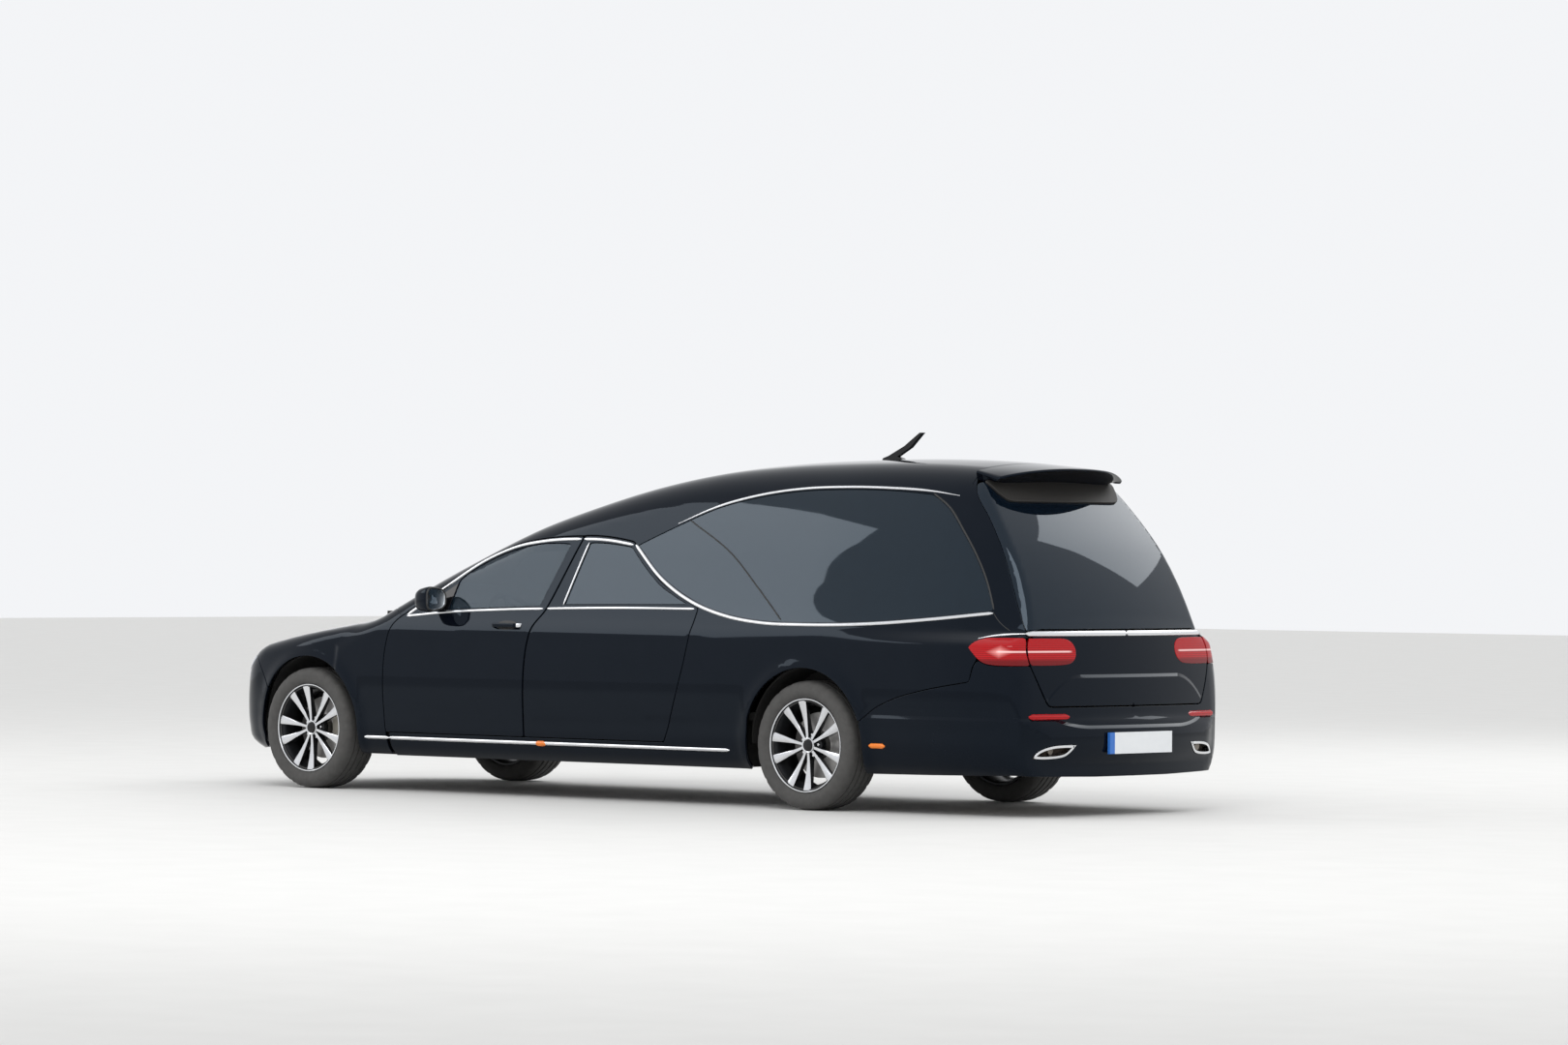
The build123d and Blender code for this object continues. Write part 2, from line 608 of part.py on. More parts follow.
floor += block(400, FIREWALL_S + KICK_THICK, -COWL_HALF, COWL_HALF, COWL_LOW_Z, COWL_TOP_Z)


def strut_axis(z):
    """The Y of the left kingpin line at a height."""
    share = (z - KINGPIN_LOW_Z) / (KINGPIN_TOP_Z - KINGPIN_LOW_Z)
    return KINGPIN_LOW_Y + share * (KINGPIN_TOP_Y - KINGPIN_LOW_Y)


def along_strut(s, low, high, radius):
    """A round bar on the kingpin line."""
    return bar_between((at(s), strut_axis(low), low), (at(s), strut_axis(high), high), radius)


def wheel_house(s, inner, outer, strut):
    """One wheel house: a half drum with its inner wall, and a tower round the strut."""
    drum = bar_across(s, WHEEL_Z, ARCH_RADIUS + HOUSE_GAP + HOUSE_WALL, inner - HOUSE_WALL, outer)
    room = bar_across(s, WHEEL_Z, ARCH_RADIUS + HOUSE_GAP, inner, outer + 200)
    if strut:
        drum += along_strut(s, 700, KINGPIN_TOP_Z + TOWER_WALL, TOWER_RADIUS)
        room += along_strut(s, 600, KINGPIN_TOP_Z, TOWER_RADIUS - TOWER_WALL)
    return drum & block(s - 600, s + 600, 0, 1200, WHEEL_Z, 1200), room


front_house, front_room = wheel_house(0, FRONT_HOUSE_INNER, 860, True)
rear_house, rear_room = wheel_house(WHEELBASE, REAR_HOUSE_INNER, 860, False)
rail = block(RAIL_FRONT_S, FIREWALL_S, RAIL_INNER, FRONT_HOUSE_INNER - HOUSE_WALL, RAIL_LOW_Z, RAIL_TOP_Z)
lamp_panel = block(LAMP_PANEL_S + 40, LAMP_PANEL_S + 70, 0, 620, 420, HEADLAMP_LOW_Z - 2 * SEAT)
for side in (lambda one: one, mirrored):
    floor += side(rail & nose_in) + side(lamp_panel & nose_in)
    floor += side(front_house & nose_in)
    floor += side(rear_house & shell_space)
    floor -= side(front_room)
    floor -= side(rear_room)
for y in (-620, 620):
    hinge = block(300, 334, y - 20, y + 20, 860, 1200) & under_arcs(BONNET_LINE, BONNET_DROP, PANEL_THICK + SEAT)
    floor += hinge + block(300, 420, y - 20, y + 20, 860, 890) + block(402, 420, y - 20, y + 20, 880, 945)
BUMPER_BEAM_Y = 290
BUMPER_BEAM_HALF = 35
for y in (-BUMPER_BEAM_Y, BUMPER_BEAM_Y):
    beam = block(CABIN_END_S - 10, 5300, y - BUMPER_BEAM_HALF, y + BUMPER_BEAM_HALF, REAR_FLOOR_Z - KICK_THICK,
                 REAR_FLOOR_Z)
    floor += beam & within_plan(PANEL_THICK + SEAT)
save("floor_pan", max(floor.solids(), key=lambda one: one.volume))


# Wheels. A profile in (distance from the wheel's centre plane, radius) is turned about the axle.
RIM_PROFILE = (
    (-105, 246), (-95, 246), (-95, 228), (-60, 228), (-30, 222), (40, 222), (70, 228), (95, 228), (95, 246),
    (105, 246), (105, 238), (84, 219), (40, 212), (-84, 218), (-105, 236),
)
TYRE_PROFILE = (
    (-94.7, 228.3), (94.7, 228.3), (94.7, 247), ((122, 286), (104, 328)), (84, 337), (0, 339), (-84, 337),
    (-104, 328), ((-122, 286), (-94.7, 247)),
)


def turned(profile, s, y):
    """A ring about the axle at s, with its centre plane at y."""
    flat = face_of([tuple(tuple(p) for p in item) if isinstance(item[0], tuple) else item for item in profile])
    placed = Plane(origin=(at(s), y, WHEEL_Z), x_dir=(0, 1, 0), z_dir=(-1, 0, 0)) * flat
    return revolve(placed, axis=Axis((at(s), y, WHEEL_Z), (0, 1, 0)))


def wheel_solids(s):
    """The rim with its hub, disc and five double spokes, and the tyre, of a left wheel."""
    face_y = HALF_TRACK + RIM_WIDTH / 2
    rim = turned(RIM_PROFILE, s, HALF_TRACK)
    rim += bar_across(s, WHEEL_Z, HUB_RADIUS, HALF_TRACK - HUB_FACE_IN, face_y - SPOKE_FACE_IN - 6)
    for index in range(SPOKE_PAIRS):
        for lean in (-1, 1):
            angle = 360 / SPOKE_PAIRS * index + 90
            spoke = Box(RIM_SEAT_RADIUS - SPOKE_START - 8, SPOKE_WIDTH, SPOKE_DEPTH,
                        align=(Align.MIN, Align.CENTER, Align.MAX))
            spoke = Pos(SPOKE_START, lean * SPOKE_APART, 0) * Rot(0, 0, lean * SPOKE_LEAN) * spoke
            spoke = Plane(origin=(at(s), face_y - SPOKE_FACE_IN, WHEEL_Z), x_dir=(1, 0, 0), z_dir=(0, 1, 0)) * (
                Rot(0, 0, angle) * spoke)
            rim += spoke & bar_across(s, WHEEL_Z, RIM_SEAT_RADIUS - 8, 600, 1000)
    disc_out = HALF_TRACK - DISC_FACE_IN
    rim += bar_across(s, WHEEL_Z, DISC_RADIUS, disc_out - DISC_THICK, disc_out)
    rim += bar_across(s, WHEEL_Z, HUB_RADIUS, disc_out - 2, HALF_TRACK - HUB_FACE_IN + 2)
    return rim, turned(TYRE_PROFILE, s, HALF_TRACK)


for end, s in (("front", 0), ("rear", WHEELBASE)):
    rim, tyre = wheel_solids(s)
    for side, turn in (("left", lambda one: one), ("right", mirrored)):
        save("wheel_" + end + "_" + side, turn(rim))
        save("tyre_" + end + "_" + side, turn(tyre))

# Knuckles: post on the kingpin line, hub carrier, steering arm and brake caliper
disc_in_y = HALF_TRACK - DISC_FACE_IN - DISC_THICK
axle_y = strut_axis(WHEEL_Z)


CALIPER_FROM_AXLE = 145
CALIPER_HALF = (48, 78)
CALIPER_RADIUS = 206
DISC_CLEAR = 6


def caliper(s, direction):
    """A brake caliper that straddles the disc."""
    middle = s + direction * CALIPER_FROM_AXLE
    half_long, half_high = CALIPER_HALF
    disc_out_y = HALF_TRACK - DISC_FACE_IN
    body = block(middle - half_long, middle + half_long, disc_in_y - 34, disc_out_y + 24, WHEEL_Z - half_high,
                 WHEEL_Z + half_high)
    body -= bar_across(s, WHEEL_Z, DISC_RADIUS + DISC_CLEAR, disc_in_y - DISC_CLEAR, disc_out_y + DISC_CLEAR)
    body &= bar_across(s, WHEEL_Z, CALIPER_RADIUS, 500, 1000)
    return body


def carrier(s):
    """The fixed part of a hub, with the plate that carries the caliper."""
    whole = bar_across(s, WHEEL_Z, CARRIER_RADIUS, axle_y - 20, disc_in_y - SEAT)
    return whole + block(s, s + 130, disc_in_y - 30, disc_in_y - 8, WHEEL_Z - 40, WHEEL_Z + 40)


TIE_ROD_Z = 300
STEER_ARM = 150
STEER_ARM_IN = 60
STEER_ARM_HALF = 12
knuckle = along_strut(0, KNUCKLE_LOW_Z, KNUCKLE_TOP_Z, POST_RADIUS) + carrier(0) + caliper(0, 1)
arm_low, arm_top = TIE_ROD_Z - STEER_ARM_HALF, TIE_ROD_Z + STEER_ARM_HALF
knuckle += block(0, STEER_ARM, axle_y - STEER_ARM_IN, axle_y - STEER_ARM_IN + 22, arm_low, arm_top)
knuckle += block(-20, 20, axle_y - STEER_ARM_IN, axle_y, arm_low, arm_top)
knuckle = max(knuckle.solids(), key=lambda one: one.volume)
save("knuckle_left", knuckle)
save("knuckle_right", mirrored(knuckle))

# Fixed suspension: front arms and struts; rear arms, struts and carriers
ARM_END_HALF = 30
ARM_ROOT_HALF = 170
REAR_ARM_HALF = 40
REAR_ARM_LOW_Z = 290
REAR_ARM_TOP_Z = 330
REAR_STRUT_Y = 560
arm_y = strut_axis(KNUCKLE_LOW_Z)
arm_top = KNUCKLE_LOW_Z - SEAT - 6
front_arm = plan_prism(((-ARM_END_HALF, arm_y), (ARM_END_HALF, arm_y), (ARM_ROOT_HALF, SUBFRAME_HALF + SEAT),
                        (-ARM_ROOT_HALF, SUBFRAME_HALF + SEAT)), arm_top - ARM_THICK, arm_top)
front_arm += Pos(at(0), arm_y - 4, arm_top - ARM_THICK) * Cylinder(
    ARM_END_HALF - 3, ARM_THICK, align=(Align.CENTER, Align.CENTER, Align.MIN))
front_strut = along_strut(0, KNUCKLE_TOP_Z + SEAT, KINGPIN_TOP_Z - SEAT, POST_RADIUS - 2)
front_strut += along_strut(0, SPRING_LOW_Z, KINGPIN_TOP_Z - SEAT - 20, SPRING_RADIUS)
rear_arm = block(WHEELBASE - REAR_ARM_HALF, WHEELBASE + REAR_ARM_HALF, SUBFRAME_HALF + SEAT, axle_y - 20 - SEAT,
                 REAR_ARM_LOW_Z, REAR_ARM_TOP_Z)
rear_carrier = carrier(WHEELBASE) + caliper(WHEELBASE, -1)
rear_carrier = max(rear_carrier.solids(), key=lambda one: one.volume)
rear_strut = bar_between((at(WHEELBASE), REAR_STRUT_Y, REAR_ARM_TOP_Z + SEAT),
                         (at(WHEELBASE), REAR_STRUT_Y, REAR_FLOOR_Z - KICK_THICK - SEAT), SPRING_RADIUS)
rear_arm += rear_carrier
rear_arm += bar_across(WHEELBASE, (REAR_ARM_LOW_Z + REAR_ARM_TOP_Z) / 2, 20, axle_y - 40, axle_y)
save("front_suspension", front_arm, front_strut, mirrored(front_arm), mirrored(front_strut))
save("rear_suspension", rear_arm, rear_strut, mirrored(rear_arm), mirrored(rear_strut))

SUBFRAME_LOW_Z = 185
SUBFRAME_TOP_Z = 245
front_frame = block(-300, FIREWALL_S - 20, -SUBFRAME_HALF, SUBFRAME_HALF, SUBFRAME_LOW_Z, SUBFRAME_TOP_Z)
front_frame -= block(-220, FIREWALL_S - 100, -SUBFRAME_HALF + SUBFRAME_RAIL, SUBFRAME_HALF - SUBFRAME_RAIL, 0, 400)
for y in (-SUBFRAME_HALF + 10, SUBFRAME_HALF - 60):
    front_frame += block(-260, -210, y, y + 50, SUBFRAME_TOP_Z, RAIL_LOW_Z - SEAT)
    front_frame += block(380, 430, y, y + 50, SUBFRAME_TOP_Z, RAIL_LOW_Z - SEAT)
rear_frame = block(WHEELBASE - 260, WHEELBASE + 220, -SUBFRAME_HALF, SUBFRAME_HALF, 300, 360)
rear_frame -= block(WHEELBASE - 190, WHEELBASE + 150, -SUBFRAME_HALF + SUBFRAME_RAIL, SUBFRAME_HALF - SUBFRAME_RAIL,
                    0, 400)
for y in (-SUBFRAME_HALF + 10, SUBFRAME_HALF - 60):
    rear_frame += block(WHEELBASE - 250, WHEELBASE - 200, y, y + 50, 360, REAR_FLOOR_Z - KICK_THICK - SEAT)
    rear_frame += block(WHEELBASE + 160, WHEELBASE + 210, y, y + 50, 360, REAR_FLOOR_Z - KICK_THICK - SEAT)
save("subframes", front_frame, rear_frame)

ENGINE_FRONT_S = -560
ENGINE_REAR_S = 330
ENGINE_HALF = 300
ENGINE_TOP_Z = 768
engine = block(ENGINE_FRONT_S, ENGINE_REAR_S, -ENGINE_HALF, ENGINE_HALF, SUBFRAME_TOP_Z + SEAT, ENGINE_TOP_Z)
engine -= block(-700, -300, -400, 400, 0, 290)
save("engine", engine)

TANK_FRONT_S = KICK_UP_S + 44
TANK_REAR_S = 3340
TANK_FAR_Y = -600
TANK_NEAR_Y = -60
TANK_LOW_Z = 215
tank = block(TANK_FRONT_S, TANK_REAR_S, TANK_FAR_Y, TANK_NEAR_Y, TANK_LOW_Z, REAR_FLOOR_Z - KICK_THICK - SEAT)
save("fuel_tank", tank)

PIPE_RADIUS = 28
PIPE_Z = 262
SILENCER_FRONT_S = 4300
SILENCER_REAR_S = 4760
SILENCER_HALF = 620
SILENCER_LOW_Z = 240
SILENCER_TOP_Z = REAR_FLOOR_Z - KICK_THICK - 60
TAIL_PIPE_Y = 615
TAIL_PIPE_Z = 345
TAIL_PIPE_RADIUS = 22
# Exhaust tip in rear view. Columns: y, z.
TIP = ((502, 372), (655, 370), (706, 324), (594, 318))
TIP_FRONT_S = 5090
TIP_REAR_S = 5156
TIP_WALL = 7
TIP_GAP = 4
exhaust = bar_between((at(470), 0, PIPE_Z), (at(SILENCER_FRONT_S + 10), 0, PIPE_Z), PIPE_RADIUS)
exhaust += block(SILENCER_FRONT_S, SILENCER_REAR_S, -SILENCER_HALF, SILENCER_HALF, SILENCER_LOW_Z, SILENCER_TOP_Z)
for y in (-TAIL_PIPE_Y, TAIL_PIPE_Y):
    exhaust += bar_between((at(SILENCER_REAR_S - 5), y, TAIL_PIPE_Z), (at(TIP_FRONT_S + 10), y, TAIL_PIPE_Z),
                           TAIL_PIPE_RADIUS)
for tip, bore in zip(rear_prism(TIP), rear_prism(TIP, -TIP_WALL)):
    exhaust += tip & block(TIP_FRONT_S, TIP_REAR_S, -1000, 1000, 0, 1000)
    exhaust -= bore & block(TIP_FRONT_S + 20, TIP_REAR_S, -1000, 1000, 0, 1000)
for s in (SILENCER_FRONT_S + 60, SILENCER_REAR_S - 80):
    exhaust += block(s, s + 20, -10, 10, SILENCER_TOP_Z - 10, REAR_FLOOR_Z - KICK_THICK - SEAT)
for hole in rear_prism(TIP, TIP_GAP):
    rear_bumper -= hole & block(5050, 5300, -1000, 1000, 0, 1000)
save("rear_bumper", max(rear_bumper.solids(), key=lambda one: one.volume))
save("exhaust", max(exhaust.solids(), key=lambda one: one.volume))

# Cabin: dashboard, steering wheel, seats, partition, deck with its rollers
DASH_FRONT_S = FIREWALL_S + KICK_THICK + SEAT
DASH_SIDE = ((DASH_FRONT_S, 700), (DASH_FRONT_S, 940), (900, 985), (960, 900), (900, 700))
DASH_HALF = 688
dash = side_prism(DASH_SIDE, 0, -DASH_HALF, DASH_HALF) & behind_screen(60)
STEERING_S = 1090
STEERING_Z = 930
STEERING_Y = 370
STEERING_RADIUS = 185
STEERING_TILT = 28
steer_plane = Plane(origin=(at(STEERING_S), STEERING_Y, STEERING_Z), x_dir=(0, 1, 0),
                    z_dir=(-math.cos(math.radians(STEERING_TILT)), 0, math.sin(math.radians(STEERING_TILT))))
GRIP_RADIUS = 16
BOSS_RADIUS = 55
BOSS_THICK = 40
steering = Torus(STEERING_RADIUS, GRIP_RADIUS) + Cylinder(BOSS_RADIUS, BOSS_THICK)
for angle in (0, 180, 270):
    steering += Rot(0, 0, angle) * Pos(STEERING_RADIUS / 2, 0, 0) * Box(STEERING_RADIUS, 34, 18)
steering += Pos(0, 0, -10) * Cylinder(22, 60, align=(Align.CENTER, Align.CENTER, Align.MAX))
save("steering_wheel", steer_plane * steering)
shroud = steer_plane * (Pos(0, 0, -70 - SEAT) * Cylinder(38, 130, align=(Align.CENTER, Align.CENTER, Align.MAX)))
dash = (dash & side_space(DOOR_THICK + 20, DOOR_THICK + 20, 150)) + shroud
save("dashboard", dash)
SEAT_ROWS = (1640, 2500)
SEAT_HALF = 255
SEAT_Y = 370
CUSHION_LENGTH = 480
CUSHION_TOP_Z = 560
HEADREST_HALF = 130
HEADREST_TOP_Z = 1290
seats = []
for s in SEAT_ROWS:
    cushion = block(s - CUSHION_LENGTH, s + 40, SEAT_Y - SEAT_HALF, SEAT_Y + SEAT_HALF, floor_top + SEAT, CUSHION_TOP_Z)
    cushion -= block(s - 600, s + 200, -10, TUNNEL_HALF + FLOOR_THICK + SEAT, 0, TUNNEL_TOP + FLOOR_THICK + SEAT)
    back_rest = side_prism(((s, 500), (s + 120, 500), (s + 290, 1120), (s + 200, 1130)), 0, SEAT_Y - SEAT_HALF + 10,
                           SEAT_Y + SEAT_HALF - 10)
    head = block(s + 195, s + 290, SEAT_Y - HEADREST_HALF, SEAT_Y + HEADREST_HALF, 1100, HEADREST_TOP_Z)
    seat = cushion + back_rest + head
    seats += [seat, mirrored(seat)]
seats = [max(one.solids(), key=lambda solid: solid.volume) for one in seats]
save("seats", *seats)
PARTITION_END = PARTITION_S + PARTITION_THICK
HATCH_HALF = 440
HATCH_LOW_Z = 1000
HATCH_TOP_Z = 1400
partition = shell_space & block(PARTITION_S, PARTITION_END, -1000, 1000, SILL_TOP + SEAT, 1900)
partition &= under_arcs(ROOF_LINE, ROOF_DROP, ROOF_THICK + SEAT)
partition += floor_space & block(PARTITION_S, PARTITION_END, -1000, 1000, floor_top + SEAT, SILL_TOP + SEAT)
tunnel_side = TUNNEL_HALF + FLOOR_THICK + SEAT
partition -= block(PARTITION_S - 9, PARTITION_END + 9, -tunnel_side, tunnel_side, 0, TUNNEL_TOP + FLOOR_THICK + SEAT)
partition -= block(PARTITION_S - 9, PARTITION_END + 9, -HATCH_HALF, HATCH_HALF, HATCH_LOW_Z, HATCH_TOP_Z)
save("partition", partition)
DECK_FRONT_S = PARTITION_END + 4
DECK_REAR_S = 4900
DECK_HALF = REAR_HOUSE_INNER - 20
DECK_FEET = (3060, 4050, 4820)
FOOT_HALF = 400
FOOT_THICK = 30
deck = shell_space & block(DECK_FRONT_S, DECK_REAR_S, -DECK_HALF, DECK_HALF, DECK_TOP - DECK_THICK, DECK_TOP)
for s in DECK_FEET:
    deck += block(s, s + FOOT_THICK, -FOOT_HALF, FOOT_HALF, REAR_FLOOR_Z + SEAT, DECK_TOP - DECK_THICK)
ROLLER_RADIUS = 22
ROLLER_HALF = 60
ROLLER_PITCH = 300
ROLLER_Y = 330
for s in range(DECK_FRONT_S + 71, DECK_REAR_S, ROLLER_PITCH):
    for y in (-ROLLER_Y, ROLLER_Y):
        deck += bar_across(s, DECK_TOP + 6, ROLLER_RADIUS, y - ROLLER_HALF, y + ROLLER_HALF)
RAIL_Y = 480
RAIL_HALF = 15
RAIL_HEIGHT = 45
for y in (-RAIL_Y, RAIL_Y):
    deck += block(DECK_FRONT_S + 30, DECK_REAR_S - 40, y - RAIL_HALF, y + RAIL_HALF, DECK_TOP - 1, DECK_TOP + RAIL_HEIGHT)
save("load_deck", deck)

# Mirrors, plates and aerial
MIRROR_FRONT_S = 912
MIRROR_REAR_S = 1044
MIRROR_INNER_Y = 868
MIRROR_OUTER_Y = 1032
MIRROR_LOW_Z = 1004
MIRROR_TOP_Z = 1140
MIRROR_ROUND = 22
mirror_head = block(MIRROR_FRONT_S, MIRROR_REAR_S, MIRROR_INNER_Y, MIRROR_OUTER_Y, MIRROR_LOW_Z, MIRROR_TOP_Z)
mirror_head = fillet(mirror_head.edges(), MIRROR_ROUND)
mirror_head += block(MIRROR_FRONT_S + 24, MIRROR_REAR_S - 36, MIRROR_INNER_Y - 88, MIRROR_INNER_Y + 32, MIRROR_LOW_Z + 8,
                     MIRROR_LOW_Z + 46)
mirror_head -= side_space(SEAT - 0.6, SEAT - 0.6, 150)
mirror_head = max(mirror_head.solids(), key=lambda one: one.volume)
save("mirror_left", mirror_head)
save("mirror_right", mirrored(mirror_head))
PLATE_HALF = 260
PLATE_HEIGHT = 110
PLATE_Z = 378
PLATE_FRONT_S = -852
PLATE_REAR_S = 5200
plate_low, plate_top = PLATE_Z - PLATE_HEIGHT / 2, PLATE_Z + PLATE_HEIGHT / 2
rear_plate = block(PLATE_REAR_S - 16, PLATE_REAR_S, -PLATE_HALF, PLATE_HALF, plate_low, plate_top)
front_plate = block(PLATE_FRONT_S, PLATE_FRONT_S + 32, -PLATE_HALF, PLATE_HALF, plate_low, plate_top)
rear_plate -= rear_bumper
front_plate -= nose_out
plates = [max((plate).solids(), key=lambda one: one.volume) for plate in (front_plate, rear_plate)]
save("plates", *plates)
# Aerial: a foot and a blade swept back. Columns: s, z.
AERIAL = (
    (3440, 1830), (3600, 1830), (3585, 1850), (3552, 1860), (3640, 1908), (3724, 1987), (3706, 1987), (3600, 1916),
    (3490, 1864), (3452, 1852),
)
AERIAL_HALF = 14
aerial = side_prism(AERIAL, 0, -AERIAL_HALF, AERIAL_HALF) - body_out
save("aerial", max(aerial.solids(), key=lambda one: one.volume))
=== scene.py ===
import math
import bmesh
import bpy
import numpy as np
from mathutils import Matrix, Vector
from mathutils.geometry import delaunay_2d_cdt


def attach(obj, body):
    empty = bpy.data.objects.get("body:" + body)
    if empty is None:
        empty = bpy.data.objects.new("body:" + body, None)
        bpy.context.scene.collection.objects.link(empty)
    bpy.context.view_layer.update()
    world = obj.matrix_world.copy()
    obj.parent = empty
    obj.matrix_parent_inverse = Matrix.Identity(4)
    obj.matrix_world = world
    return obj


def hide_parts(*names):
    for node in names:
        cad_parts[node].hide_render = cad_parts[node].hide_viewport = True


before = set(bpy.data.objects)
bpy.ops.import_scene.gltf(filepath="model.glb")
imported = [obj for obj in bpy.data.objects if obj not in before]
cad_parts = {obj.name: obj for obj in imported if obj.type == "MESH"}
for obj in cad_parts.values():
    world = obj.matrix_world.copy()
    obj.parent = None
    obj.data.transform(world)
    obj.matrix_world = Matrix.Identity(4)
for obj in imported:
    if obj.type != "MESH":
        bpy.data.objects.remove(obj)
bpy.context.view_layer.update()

# Camera and room
# The photograph was taken with a long lens from behind the car's left rear corner, a little above its
# waist. Positions are metres in the car's frame: +X forward, +Y left, +Z up, origin on the ground.
CAMERA_PLACE = Vector((-22.147, 24.690, 1.368))
CAMERA_YAW, CAMERA_PITCH, CAMERA_ROLL = -0.8525, 0.0042, 0.0075
CAMERA_LENS_MM, FILM_WIDTH_MM = 138.7, 36.0

look = Vector((math.cos(CAMERA_PITCH) * math.cos(CAMERA_YAW), math.cos(CAMERA_PITCH) * math.sin(CAMERA_YAW),
               math.sin(CAMERA_PITCH)))
level = Vector((math.sin(CAMERA_YAW), -math.cos(CAMERA_YAW), 0))
upright = level.cross(look)
right = level * math.cos(CAMERA_ROLL) + upright * math.sin(CAMERA_ROLL)
up = upright * math.cos(CAMERA_ROLL) - level * math.sin(CAMERA_ROLL)
camera = bpy.data.objects.new("camera", bpy.data.cameras.new("camera"))
bpy.context.scene.collection.objects.link(camera)
camera.matrix_world = Matrix.Translation(CAMERA_PLACE) @ Matrix((right, up, -look)).transposed().to_4x4()
camera.data.lens = CAMERA_LENS_MM
camera.data.sensor_width = FILM_WIDTH_MM
camera.data.clip_end = 400
bpy.context.scene.camera = camera
bpy.context.scene.view_settings.view_transform = "Standard"


def maths(operation, swapped=False):
    """A method that makes one maths node; swapped puts the other value first."""
    def method(self, *others):
        values = (*others, self) if swapped else (self, *others)
        return self.tree.node("ShaderNodeMath", {"operation": operation}, dict(enumerate(values)))[0]
    return method


class Socket:
    """Wraps a socket of a node, so that maths on it is written as Python expressions."""

    def __init__(self, tree, link):
        self.tree, self.link = tree, link

    __add__, __radd__ = maths("ADD"), maths("ADD", True)
    __sub__, __rsub__ = maths("SUBTRACT"), maths("SUBTRACT", True)
    __mul__, __rmul__ = maths("MULTIPLY"), maths("MULTIPLY", True)
    __lt__, power, larger = maths("LESS_THAN"), maths("POWER"), maths("MAXIMUM")
    sine, size = maths("SINE"), maths("ABSOLUTE")

    def clipped(self):
        return self.tree.node("ShaderNodeClamp", Value=self)[0]


class Nodes:
    """A node tree under construction."""

    def __init__(self, tree):
        self.nodes, self.links = tree.nodes, tree.links

    def put(self, slot, value):
        if isinstance(value, Socket):
            self.links.new(value.link, slot)
        else:
            slot.default_value = value

    def node(self, kind, settings=None, places=None, **sockets):
        """Any node: its settings first, then the values or links of its sockets, by place or by name."""
        node = self.nodes.new(kind)
        for label, value in (settings or {}).items():
            setattr(node, label, value)
        for place, value in (places or {}).items():
            self.put(node.inputs[place], value)
        for label, value in sockets.items():
            self.put(node.inputs[label.replace("_", " ")], value)
        return [Socket(self, out) for out in node.outputs]


class Finish(Nodes):
    """A material under construction: one Principled shader and the nodes that feed it."""

    def __init__(self, name, **sockets):
        self.material = bpy.data.materials.new(name)
        self.material.use_nodes = True
        super().__init__(self.material.node_tree)
        self.shader = next(n for n in self.nodes if n.type == "BSDF_PRINCIPLED")
        for label, value in sockets.items():
            self.shader.inputs[label.replace("_", " ")].default_value = value

    def feed(self, label, value):
        self.put(self.shader.inputs[label], value)
        return self

    def place(self):
        """Object coordinates in metres."""
        return self.node("ShaderNodeTexCoord")[3]

    def axes(self):
        return self.node("ShaderNodeSeparateXYZ", Vector=self.place())[:3]

    def noise(self, scale, detail=3.0, vector=None):
        return self.node("ShaderNodeTexNoise", Scale=scale, Detail=detail, Vector=vector or self.place())[0]

    def mixed(self, factor, first, second):
        """Between two colours, each given as three numbers or a socket."""
        first, second = (colour if isinstance(colour, Socket) else (*colour, 1) for colour in (first, second))
        return self.node("ShaderNodeMix", {"data_type": "RGBA"}, {0: factor, 6: first, 7: second})[2]

    def bump(self, height, strength, distance):
        result = self.node("ShaderNodeBump", Height=height, Strength=strength, Distance=distance)[0]
        return self.feed("Normal", result)


def uneven(name, dark, light, scale, detail=3.0, rough=None, bump=None, **sockets):
    """A finish whose colour wanders between two values in noise of a scale and a detail.

    rough is the least roughness, its spread and the scale of its noise; bump is the scale and detail of its
    noise, its strength and its height.
    """
    finish = Finish(name, **sockets)
    finish.colour = finish.mixed(finish.noise(scale, detail), dark, light)
    finish.feed("Base Color", finish.colour)
    if rough:
        finish.feed("Roughness", rough[0] + rough[1] * finish.noise(rough[2]))
    if bump:
        finish.bump(finish.noise(*bump[:2]), *bump[2:])
    return finish


# The room is a pale floor that runs to the horizon and a white surround; mirrors and glass see them too.
world = bpy.data.worlds.new("room")
bpy.context.scene.world = world
world.use_nodes = True
surround = Nodes(world.node_tree)
surround.nodes.clear()
rays = {ray.link.name: ray for ray in surround.node("ShaderNodeLightPath")}
seen, mirrored, through = (rays["Is %s Ray" % kind] for kind in ("Camera", "Glossy", "Transmission"))
light = surround.node("ShaderNodeBackground", Color=(1, 1, 1, 1), Strength=0.95)[0]
pale = surround.node("ShaderNodeBackground", Color=(0.90, 0.91, 0.93, 1), Strength=1.0)[0]
either = seen.larger(mirrored.larger(through))
surround.node("ShaderNodeOutputWorld",
              Surface=surround.node("ShaderNodeMixShader", None, {0: either, 1: light, 2: pale})[0])
FLOOR_HALF = 60
floor_mesh = bpy.data.meshes.new("floor")
floor_corners = [(FLOOR_HALF * a, FLOOR_HALF * b, 0) for a, b in ((-1, -1), (1, -1), (1, 1), (-1, 1))]
floor_mesh.from_pydata(floor_corners, [], [(0, 1, 2, 3)])
floor = bpy.data.objects.new("floor", floor_mesh)
bpy.context.scene.collection.objects.link(floor)
floor_mesh.materials.append(uneven("studio_floor", (0.70, 0.70, 0.69), (0.76, 0.76, 0.75), 3.0, 5.0,
                                   Roughness=0.75).material)
LAMPS_AIM = Vector((0, 0, 0.8))
